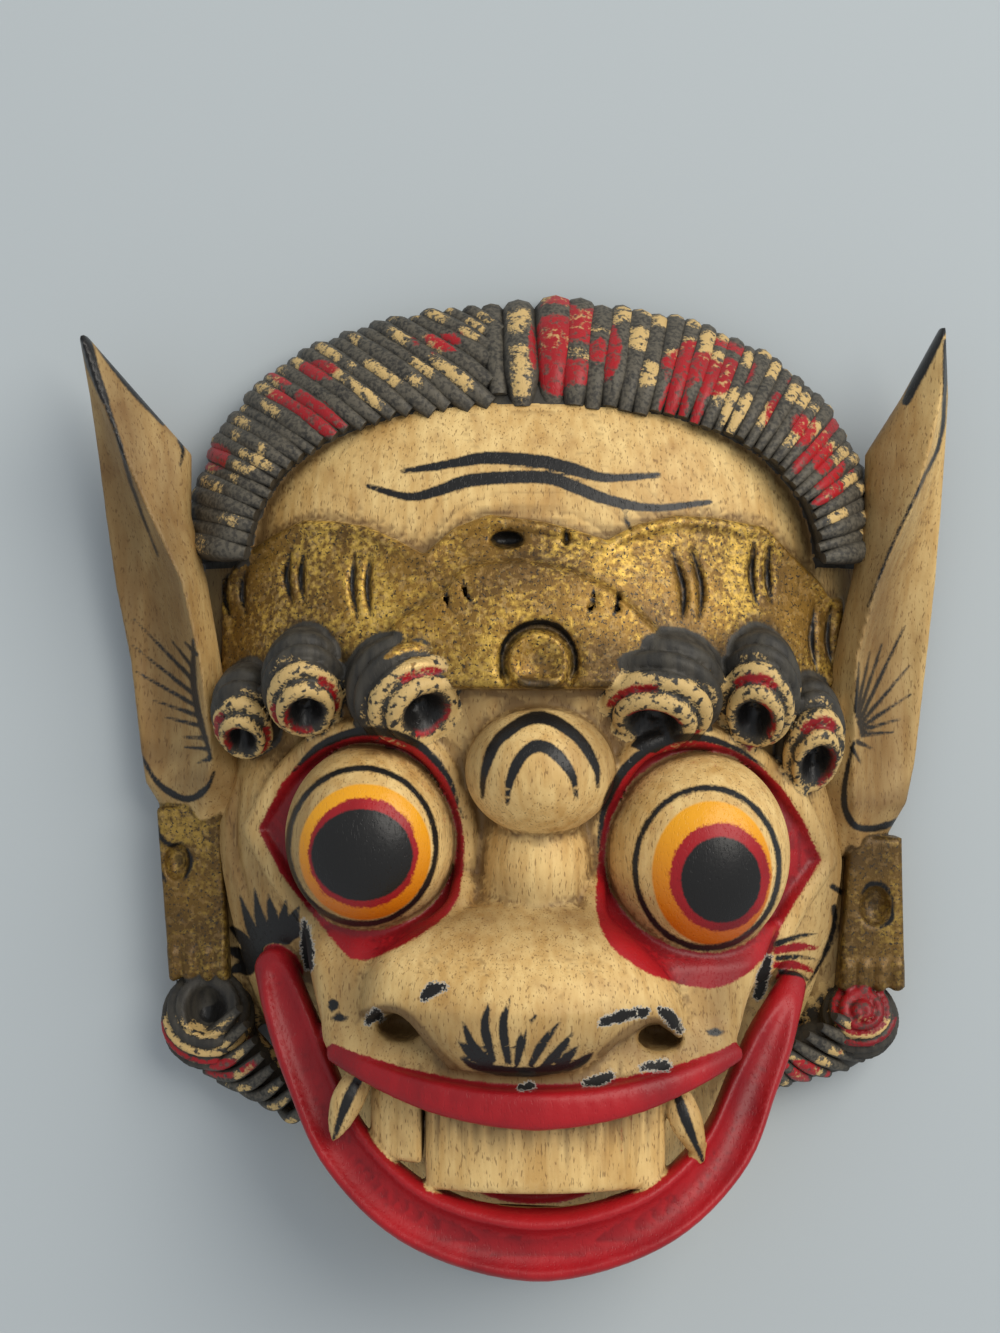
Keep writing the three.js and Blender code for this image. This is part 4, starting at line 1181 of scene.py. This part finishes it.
def ear(rows):
    columns = np.array(rows).T
    inward = np.sign(columns[3][0] - columns[1][0])

    def form(x, y, z):
        along = [np.interp(y, columns[0], column) for column in columns[1:]]
        edge, edge_z, ridge, ridge_z, inner, inner_z, scoop = along
        front = np.clip((x - edge) / (ridge - edge), 0, 1)
        beyond = np.clip((x - ridge) / (inner - ridge), 0, 1)
        top = edge_z + (ridge_z - edge_z) * front + (inner_z - ridge_z) * beyond
        top = top - 4 * scoop * front * (1 - front)
        under = edge_z + (inner_z - edge_z) * (front + beyond) / 2 - EAR_THICKNESS
        sides = np.maximum((edge - x) * inward, (x - inner) * inward)
        ends = np.maximum(columns[0][0] - y, y - columns[0][-1])
        blade = soft_max((z - top) * TOP_SLOPE, under - z, EAR_FACE_ROUNDING)
        return soft_max(blade, np.maximum(sides, ends), EAR_EDGE_ROUNDING)
    return form


for rows in EARS:
    edges = [row[1] for row in rows] + [row[5] for row in rows]
    low = (min(edges) - EAR_MARGIN, rows[0][0] - EAR_MARGIN, EAR_LOW[2])
    high = (max(edges) + EAR_MARGIN, rows[-1][0] + EAR_MARGIN, EAR_HIGH[2])
    add(ear(rows), low, high, blend=0.001)

# The ear ornaments: flat slabs below the ears, carved from the same wood and gilt.
# Each has a round dent and a fluted lower edge.
ORNAMENTS = [
    {"x": -0.0957, "lean": 0.0032, "widths": (0.0095, 0.0088), "top": -0.005, "bottom": -0.0560,
     "dent": ((-0.0990, -0.0210, 0.021), (0.0042, 0.0062, 0.006))},
    {"x": 0.1055, "lean": -0.0012, "widths": (0.0078, 0.0100), "top": -0.014, "bottom": -0.0590,
     "dent": ((0.1052, -0.0340, 0.021), (0.0050, 0.0066, 0.006))},
]
ORNAMENT_Z = (0.0065, 0.0200)
ORNAMENT_ROUNDING = 0.002
ORNAMENT_ROOM = 0.015
FLUTE_PITCH = 0.0050
FLUTE_DEPTH = 0.0012
FLUTE_START = 0.78
FLUTE_FADE = 0.05


def ornament(slab):
    def form(x, y, z):
        down = np.clip((slab["top"] - y) / (slab["top"] - slab["bottom"]), 0, 1)
        off = x - slab["x"] - slab["lean"] * down
        flutes = np.abs(np.sin(np.pi * off / FLUTE_PITCH)) * np.clip((down - FLUTE_START) / FLUTE_FADE, 0, 1)
        sides = np.abs(off) - np.interp(down, (0, 1), slab["widths"])
        ends = np.maximum(y - slab["top"], slab["bottom"] + FLUTE_DEPTH * (1 - flutes) - y)
        faces = np.maximum(z - ORNAMENT_Z[1] - FLUTE_DEPTH * (flutes - 1), ORNAMENT_Z[0] - z)
        return soft_max(faces, np.maximum(sides, ends), ORNAMENT_ROUNDING)
    return form


for slab in ORNAMENTS:
    low = (slab["x"] - ORNAMENT_ROOM, slab["bottom"] - 0.005, 0.002)
    high = (slab["x"] + ORNAMENT_ROOM, slab["top"] + 0.005, 0.026)
    add(ornament(slab), low, high)
    cut(ellipsoid(*slab["dent"]), *around(*slab["dent"]))

# The side curls: a coil of hair carved under each ornament, ridged like the brows.
# The left one is opened with a gouge; the right one is closed.
SIDE_CURLS = [
    dict(centre=(-0.0905, -0.0680, 0.013), radii=(0.0140, 0.0150, 0.012), lean=-10, tilt=-28, hole=0.52),
    dict(centre=(0.1015, -0.0680, 0.013), radii=(0.0118, 0.0120, 0.012), lean=10, tilt=-20, hole=0.0),
]
CURL_MOUTH = ((-0.0905, -0.0630, 0.026), (0.0056, 0.0080, 0.011))
for curl in SIDE_CURLS:
    add(coil(curl), *around(curl["centre"], curl["radii"]))
cut(ellipsoid(*CURL_MOUTH), *around(*CURL_MOUTH))

EAR_TRIANGLES = 150000
EAR_BACK = -0.3
wood = np.maximum(wood, -axes[2])
ears = carved("ears", EAR_TRIANGLES)
points, normals, view = measured(ears)
x, y, z = points
behind = np.where(normals[2] < EAR_BACK, FAR, 0)

# Paint of the ears and what hangs below: black tips, edges and cracks on cream, and a fan of whiskers
# at the foot of each ear; gold on the ornaments; black curls with worn bands of cream and red.
EAR_LINES = [
    [(193, 640), (195, 696), (211, 759)], [(142, 757), (159, 784), (186, 799), (206, 789), (214, 772)],
    [(854, 742), (847, 771), (844, 803), (853, 824), (868, 829), (890, 824), (911, 809), (919, 781)],
]
EAR_RIDGES = [
    [(106, 402), (119, 441), (130, 480), (144, 520), (158, 556)],
    [(946, 341), (942, 431), (923, 480), (893, 543), (868, 606)],
    [(180, 440), (183, 452), (180, 466)],
]
# Brown stains on the ears, which are partly painted shade: the darkening of the left ear's scoop and of the
# cups at their feet.
EAR_STAINS_AND_SHADE = [
    (120, 520, 18, 110), (165, 620, 12, 80), (160, 752, 12, 6), (195, 780, 8, 4), (880, 640, 4, 60),
    (892, 800, 14, 4),
]
EAR_TIPS = [[(83, 330), (88, 350), (95, 374), (106, 402)], [(942, 328), (925, 362), (906, 402)]]
EAR_EDGES = [[(88, 332), (125, 380), (163, 424)], [(950, 345), (952, 380), (949, 430)]]
WHISKERS = [
    [(193, 680), (134, 619)], [(191, 692), (132, 645)], [(195, 705), (135, 671)], [(196, 715), (153, 700)],
    [(201, 726), (165, 717)], [(206, 738), (181, 737)], [(208, 749), (185, 747)], [(209, 759), (197, 763)],
    [(194, 669), (172, 641)], [(196, 654), (185, 642)],
    [(859, 722), (905, 625)], [(858, 716), (882, 644)], [(857, 712), (870, 652)], [(856, 710), (859, 662)],
    [(860, 724), (910, 665)], [(861, 727), (911, 694)], [(862, 730), (900, 719)], [(862, 735), (894, 732)],
    [(858, 742), (873, 749)], [(852, 748), (860, 762)],
]
# Painted shade: black rims along the upper walls and sides of the dents in the ornaments.
DENT_SHADE_RIMS = [
    [(156, 822), (160, 836), (171, 845), (184, 842)], [(187, 848), (191, 863), (184, 881)],
    [(160, 852), (158, 868), (166, 882)], [(862, 893), (870, 884), (884, 886), (893, 900)],
    [(893, 905), (891, 920), (880, 928)],
]
EAR_STAIN_AND_SHADE_DEPTH, EAR_STAIN_AND_SHADE_FALL = 0.66, 0.0022
GOLD_TARNISH = 0.62
RED_RINGS = 2.4
EAR_LINE_BRUSH = 7
EAR_TIP_BRUSH = 13
EAR_EDGE_BRUSH = 8
EAR_RIDGE_BRUSH = 4
WHISKER_BRUSH = 8.5
DENT_SHADE_BRUSH = 5
ink = join(strokes(view, EAR_LINES, EAR_LINE_BRUSH), strokes(view, EAR_EDGES, EAR_EDGE_BRUSH))
ink = join(ink, strokes(view, EAR_TIPS, EAR_TIP_BRUSH, (0.9, 1, 0.6)))
ink = join(ink, strokes(view, EAR_RIDGES, EAR_RIDGE_BRUSH, (1.4, 1, 0.8, 0.5)))
ink = join(ink, strokes(view, WHISKERS, WHISKER_BRUSH, (0.6, 1, 0.8, 0.2)))
gold = join(*[on_form(ornament(slab), points, PAINT_MARGIN) for slab in ORNAMENTS])
gold = join(gold, *[on_form(ellipsoid(*slab["dent"]), points, PAINT_MARGIN) for slab in ORNAMENTS])
ink = join(ink, np.maximum(strokes(view, DENT_SHADE_RIMS, DENT_SHADE_BRUSH), gold))
coils = [coil(curl) for curl in SIDE_CURLS]
dark = join(*[on_form(form, points, PAINT_MARGIN) for form in coils])
cream, red = np.full(len(x), FAR), np.full(len(x), FAR)
for curl, form in zip(SIDE_CURLS, coils):
    from_middle, from_axis, turn = coil_place(curl, x, y, z)
    on_curl = on_form(form, points, PAINT_MARGIN)
    ring = ring_number(curl, from_axis, turn)
    ridge = COIL_PITCH * min(curl["radii"]) / UNIT
    below = 18 * np.sin(turn) + 4
    outer_band = np.maximum(np.abs(ring - 2.5) * ridge - 6, below)
    inner_band = np.maximum(np.abs(ring - 0.7) * ridge - 4, below + 8)
    cream = join(cream, np.maximum(join(outer_band, inner_band), on_curl))
    red = join(red, np.maximum(np.maximum(np.abs(ring - 3.5) * ridge - 5, below), on_curl))
    if curl["hole"] > 0:
        ink = join(ink, np.maximum(ring * ridge, on_curl))
    else:
        red = join(red, np.maximum((ring - RED_RINGS) * ridge, on_curl))
stain_and_shade = EAR_STAIN_AND_SHADE_DEPTH - EAR_STAIN_AND_SHADE_FALL * np.maximum(spots(view, EAR_STAINS_AND_SHADE), 0)
cavity = np.max([cavity_at(points), stain_and_shade, np.where(gold < 0, GOLD_TARNISH, 0)], axis=0)
paint(ears, cavity, {
    "gold": gold + behind, "dark": dark + behind, "cream": cream + behind, "red": red + behind,
    "ink": ink + behind, "raw": np.where(normals[2] < EAR_BACK, -FAR, FAR),
})
hand_in(ears)

# The combed locks: rounded ridges gouged in the crown, which fan out from a parting lock, and strands of
# the same kind down the jaw, all painted black with cream dabs and red patches.
# Each lock is a path; the node tree sweeps a section along it, as thick as the path says.
LOCK_COUNT = 58
LOCK_SEED = 4
LOCK_POINTS = 12
LOCK_FIRST = np.radians(3)
LOCK_LAST = np.radians(176)
PARTING = np.radians(94)
SWEEP_LEFT = np.radians(21)
LATEST_START = 0.8
PARTING_HALF_WIDTH = 0.0030
PARTING_RADIUS = 0.0042
PARTING_TAPER = (0.8, 1.1)
PARTING_START = 0.06
PARTING_LENGTH = 0.96
PARTING_SINK = 0.0032
LOCK_OVERLAP = 0.95
LOCK_WIDEST = 0.0085
LOCK_SLANT_LEAST = 0.5
LOCK_INSET = 0.03
LOCK_TURN_DOWN = 0.0052
LOCK_THICKNESS = (0.88, 1.08)
LOCK_WAVER = 0.06
LOCK_SHIFT = (-0.0012, 0.0008)
LOCK_TAPER = [(0, 0.6), (3, 1), (LOCK_POINTS - 2, 1), (LOCK_POINTS - 1, 0.85)]
STRANDS = [
    {"bow": 12,
     "outer": [(178, 1036), (182, 1050), (192, 1061), (206, 1070), (220, 1079), (238, 1086), (256, 1093),
               (278, 1102)],
     "inner": [(240, 1008), (247, 1024), (255, 1040), (264, 1054), (274, 1066), (284, 1078), (294, 1090),
               (306, 1106)]},
    {"bow": 3,
     "outer": [(890, 1036), (878, 1047), (862, 1058), (846, 1067), (828, 1073), (808, 1077), (788, 1081),
               (772, 1085)],
     "inner": [(834, 1016), (820, 1026), (806, 1034), (792, 1042), (785, 1051), (779, 1060), (774, 1068),
               (769, 1076)]},
]
SECTION_SIDES = 12
LOCK_RINGS = 16
CREST_WIDTH = 0.50
STRAND_Z = (0.011, 0.025)
STRAND_RADIUS = 0.0026
STRAND_BLUNT = 0.35


def egg_point(angle, half_width, above, below):
    power = 2 / UPPER_SQUARENESS
    across = np.sign(np.cos(angle)) * np.abs(np.cos(angle)) ** power * half_width
    return np.array([FACE_X + across, WIDEST_Y + np.abs(np.sin(angle)) ** power * above])


def lock_line(angle):
    """The inner and outer end of a lock, and the share of its length where it comes out of the parting.
    Locks to the left lean over, so the first of them end on the parting instead of on the hairline."""
    outer = egg_point(angle, **HAIR_OUTER)
    if angle < PARTING:
        return egg_point(angle, **HAIR_INNER), outer, 0
    lean = SWEEP_LEFT * (LOCK_LAST - angle) / (LOCK_LAST - PARTING)
    inner = egg_point(angle - lean, **HAIR_INNER)
    parting = egg_point(PARTING, **HAIR_INNER)[0] - PARTING_HALF_WIDTH
    start = (parting - inner[0]) / (outer[0] - inner[0]) if inner[0] > parting else 0
    return inner, outer, min(start, LATEST_START)


lock_points, lock_edges, lock_radii, lock_numbers = [], [], [], []


def lay_lock(path, radii):
    first = len(lock_points)
    lock_edges.extend((first + k, first + k + 1) for k in range(len(path) - 1))
    lock_points.extend(path)
    lock_numbers.extend([len(set(lock_numbers))] * len(path))
    lock_radii.extend(radii)


step_angle = (LOCK_LAST - LOCK_FIRST) / LOCK_COUNT
chance = np.random.default_rng(LOCK_SEED)
for k in range(LOCK_COUNT):
    angle = LOCK_FIRST + (k + 0.5) * step_angle
    if abs(angle - PARTING) < step_angle / 2:
        continue
    inner, outer, start = lock_line(angle)
    next_inner, next_outer, _ = lock_line(angle + step_angle)
    share = np.linspace(start - LOCK_INSET, 1, LOCK_POINTS)[:, None]
    flat = inner + (outer - inner) * share
    gap = np.linalg.norm((next_inner - inner) * (1 - share) + (next_outer - outer) * share, axis=1)
    run = (outer - inner) / np.linalg.norm(outer - inner)
    step = (next_outer - outer) / np.linalg.norm(next_outer - outer)
    slant = max(abs(run[0] * step[1] - run[1] * step[0]), LOCK_SLANT_LEAST)
    radius = LOCK_OVERLAP * np.minimum(gap, LOCK_WIDEST) * slant
    path = np.column_stack([flat, hair_height(share[:, 0]) + LOCK_RELIEF - radius])
    path[-1, 2] -= LOCK_TURN_DOWN
    radius *= chance.uniform(*LOCK_THICKNESS) + LOCK_WAVER * np.sin(chance.uniform(0, 6) + 5 * share[:, 0])
    path[:, :2] += run * chance.uniform(*LOCK_SHIFT)
    radius *= np.interp(np.arange(LOCK_POINTS), *np.transpose(LOCK_TAPER))
    lay_lock(path, radius)
parting_number = len(set(lock_numbers))
foot, crown = egg_point(PARTING, **HAIR_INNER), egg_point(PARTING, **HAIR_OUTER)
share = np.linspace(PARTING_START, 1, LOCK_POINTS)[:, None]
flat = foot + (crown - foot) * share * PARTING_LENGTH
path = np.column_stack([flat, hair_height(share[:, 0]) - PARTING_SINK])
lay_lock(path, PARTING_RADIUS * np.linspace(*PARTING_TAPER, LOCK_POINTS))
for strand in STRANDS:
    for outer, inner in zip(strand["outer"], strand["inner"]):
        middle = np.mean([outer, inner], axis=0) + (0, strand["bow"])
        line = smooth_path([outer, middle, inner], LOCK_POINTS)
        heights = np.linspace(*STRAND_Z, LOCK_POINTS)
        path = [(*from_view(across, down, z), z) for (across, down), z in zip(line, heights)]
        swelling = np.sqrt(np.sin(np.linspace(STRAND_BLUNT, np.pi - STRAND_BLUNT, LOCK_POINTS)))
        lay_lock(path, STRAND_RADIUS * swelling)

lines = bpy.data.meshes.new("lock paths")
lines.from_pydata(lock_points, lock_edges, [])
lines.attributes.new("thickness", "FLOAT", "POINT").data.foreach_set("value", lock_radii)
lines.attributes.new("lock", "FLOAT", "POINT").data.foreach_set("value", lock_numbers)
locks = bpy.data.objects.new("locks", lines)
bpy.context.scene.collection.objects.link(locks)

tree = bpy.data.node_groups.new("Combed locks", "GeometryNodeTree")
tree.interface.new_socket("Paths", in_out="INPUT", socket_type="NodeSocketGeometry")
sides_socket = tree.interface.new_socket("Sides", in_out="INPUT", socket_type="NodeSocketInt")
rings_socket = tree.interface.new_socket("Rings", in_out="INPUT", socket_type="NodeSocketInt")
crest_socket = tree.interface.new_socket("Crest width", in_out="INPUT", socket_type="NodeSocketFloat")
material_socket = tree.interface.new_socket("Material", in_out="INPUT", socket_type="NodeSocketMaterial")
tree.interface.new_socket("Locks", in_out="OUTPUT", socket_type="NodeSocketGeometry")
nodes = {name: tree.nodes.new(kind) for name, kind in {
    "in": "NodeGroupInput", "curve": "GeometryNodeMeshToCurve", "resample": "GeometryNodeResampleCurve",
    "thickness": "GeometryNodeInputNamedAttribute", "factor": "GeometryNodeSplineParameter",
    "along": "GeometryNodeStoreNamedAttribute", "upright": "GeometryNodeSetCurveNormal",
    "section": "GeometryNodeCurvePrimitiveCircle", "place": "GeometryNodeInputPosition",
    "split": "ShaderNodeSeparateXYZ", "narrow": "ShaderNodeMapRange", "across": "ShaderNodeMath",
    "point": "ShaderNodeCombineXYZ", "pinch": "GeometryNodeSetPosition", "sweep": "GeometryNodeCurveToMesh",
    "smooth": "GeometryNodeSetShadeSmooth", "realize": "GeometryNodeRealizeInstances",
    "material": "GeometryNodeSetMaterial", "out": "NodeGroupOutput",
}.items()}
nodes["thickness"].inputs["Name"].default_value = "thickness"
nodes["along"].inputs["Name"].default_value = "along"
nodes["section"].inputs["Radius"].default_value = 1
nodes["upright"].mode = "Z_UP"
nodes["narrow"].inputs["From Min"].default_value = -1
nodes["across"].operation = "MULTIPLY"
nodes["narrow"].inputs["To Min"].default_value = 1
nodes["sweep"].inputs["Fill Caps"].default_value = True
for start, out_socket, end, in_socket in [
    ("in", "Paths", "curve", "Mesh"), ("curve", "Curve", "resample", "Curve"),
    ("in", "Rings", "resample", "Count"), ("resample", "Curve", "along", "Geometry"),
    ("factor", "Factor", "along", "Value"), ("along", "Geometry", "upright", "Curve"),
    ("upright", "Curve", "sweep", "Curve"), ("in", "Sides", "section", "Resolution"),
    ("section", "Curve", "pinch", "Geometry"), ("place", "Position", "split", 0),
    ("split", "Y", "narrow", "Value"), ("in", "Crest width", "narrow", "To Max"), ("split", "X", "across", 0),
    ("narrow", "Result", "across", 1), ("across", 0, "point", "X"), ("split", "Y", "point", "Y"),
    ("point", 0, "pinch", "Position"), ("pinch", "Geometry", "sweep", "Profile Curve"),
    ("thickness", "Attribute", "sweep", "Scale"), ("sweep", "Mesh", "smooth", "Geometry"),
    ("smooth", "Geometry", "realize", "Geometry"), ("realize", "Geometry", "material", "Geometry"),
    ("in", "Material", "material", "Material"), ("material", "Geometry", "out", "Locks"),
]:
    tree.links.new(nodes[start].outputs[out_socket], nodes[end].inputs[in_socket])

modifier = locks.modifiers.new("Combed locks", "NODES")
modifier.node_group = tree
modifier[sides_socket.identifier] = SECTION_SIDES
modifier[rings_socket.identifier] = LOCK_RINGS
modifier[crest_socket.identifier] = CREST_WIDTH
modifier[material_socket.identifier] = painted_wood
swept = bpy.data.meshes.new_from_object(locks.evaluated_get(bpy.context.evaluated_depsgraph_get()))
locks.modifiers.clear()
locks.data = swept


# Paint of the locks: matt black, with worn dabs of cream along their crests and red patches across some,
# as a brush leaves them that is drawn lightly over the ridges.
DASH_SEED = 7
RED_PATCHES = [
    (562, 345, 26, 34), (598, 350, 22, 32), (694, 366, 44, 24), (676, 404, 22, 26), (800, 425, 22, 30),
    (824, 458, 22, 36), (448, 340, 30, 14), (320, 368, 34, 14), (316, 408, 30, 16), (212, 457, 20, 14),
    (226, 1066, 26, 10), (850, 1052, 30, 10), (812, 1070, 34, 8),
]
LOCK_UNITS = 95
DASH_PLACE = (0.15, 0.92)
DASH_LENGTH = (0.04, 0.32)
RED_SHIFT = (-14, 16)
BARE_PLACE = (0.2, 0.9)
BARE_HALF_LENGTH = (0.02, 0.09)
CREST_TURN = np.radians(55)
CREST_LEFT = 0.84
CREST_RIGHT = 0.74
FLANK_UNITS = 16
RED_REACH = 4
points, normals, view = measured(locks)
along, lock = np.zeros(len(points[0]), dtype=np.float32), np.zeros(len(points[0]), dtype=np.float32)
locks.data.attributes["along"].data.foreach_get("value", along)
locks.data.attributes["lock"].data.foreach_get("value", lock)
chance = np.random.default_rng(DASH_SEED)
cream = np.full(len(along), FAR)
red = spots(view, RED_PATCHES)
for number in range(int(lock.max()) + 1):
    this = np.abs(lock - number) < 0.5
    red[this] += chance.uniform(*RED_SHIFT)
    for middle, length in zip(chance.uniform(*DASH_PLACE, 2), chance.uniform(*DASH_LENGTH, 2)):
        cream[this] = np.minimum(cream[this], (np.abs(along[this] - middle) - length / 2) * LOCK_UNITS)
    gap = np.abs(along[this] - chance.uniform(*BARE_PLACE)) - chance.uniform(*BARE_HALF_LENGTH)
    red[this] = leave(red[this], gap * LOCK_UNITS)
cream[np.abs(lock - parting_number) < 0.5] = FAR
outward = np.array([points[0] - FACE_X, points[1] - WIDEST_Y])
outward /= np.linalg.norm(outward, axis=0)
fall = CREST_TURN * np.clip(along, 0, 1)
crest = normals[2] * np.cos(fall) + (normals[0] * outward[0] + normals[1] * outward[1]) * np.sin(fall)
flank = (np.where(points[0] < FACE_X, CREST_LEFT, CREST_RIGHT) - crest) * FLANK_UNITS
# Crests count as standing out, for rubbed wear; faces turned back from the crest count as recesses, for grime
# and painted shade.
paint(locks, 0.5 - 0.25 * crest, {
    "dark": -FAR, "cream": np.maximum(cream, flank), "red": np.maximum(red, flank - RED_REACH),
})
hand_in(locks)

# The floor, the light and the room: a plain pale sheet of paper under the mask,
# one broad warm lamp up to the right, and an even, slightly cool light all round.
PAPER = (0.46, 0.505, 0.525, 1)
PAPER_ROUGHNESS = 0.9
ROOM = (0.86, 0.90, 0.95, 1)
ROOM_STRENGTH = 0.60
LAMP = (1.0, 0.95, 0.87)
LAMP_WATTS = 42
LAMP_SIZE = 1.7
LAMP_PLACE = (1.25, 1.05, 1.65)
bpy.ops.mesh.primitive_plane_add(size=6)
floor = bpy.context.object
floor.name = "floor"
paper = bpy.data.materials.new("paper")
paper.use_nodes = True
paper.node_tree.nodes["Principled BSDF"].inputs["Base Color"].default_value = PAPER
paper.node_tree.nodes["Principled BSDF"].inputs["Roughness"].default_value = PAPER_ROUGHNESS
floor.data.materials.append(paper)

bpy.context.scene.view_settings.view_transform = "Standard"
world = bpy.data.worlds.new("room")
world.use_nodes = True
world.node_tree.nodes["Background"].inputs["Color"].default_value = ROOM
world.node_tree.nodes["Background"].inputs["Strength"].default_value = ROOM_STRENGTH
bpy.context.scene.world = world
lamp = bpy.data.objects.new("lamp", bpy.data.lights.new("lamp", "AREA"))
lamp.data.energy = LAMP_WATTS
lamp.data.color = LAMP
lamp.data.size = LAMP_SIZE
lamp.location = LAMP_PLACE
lamp.rotation_euler = (-Vector(LAMP_PLACE)).to_track_quat("-Z", "Y").to_euler()
bpy.context.scene.collection.objects.link(lamp)
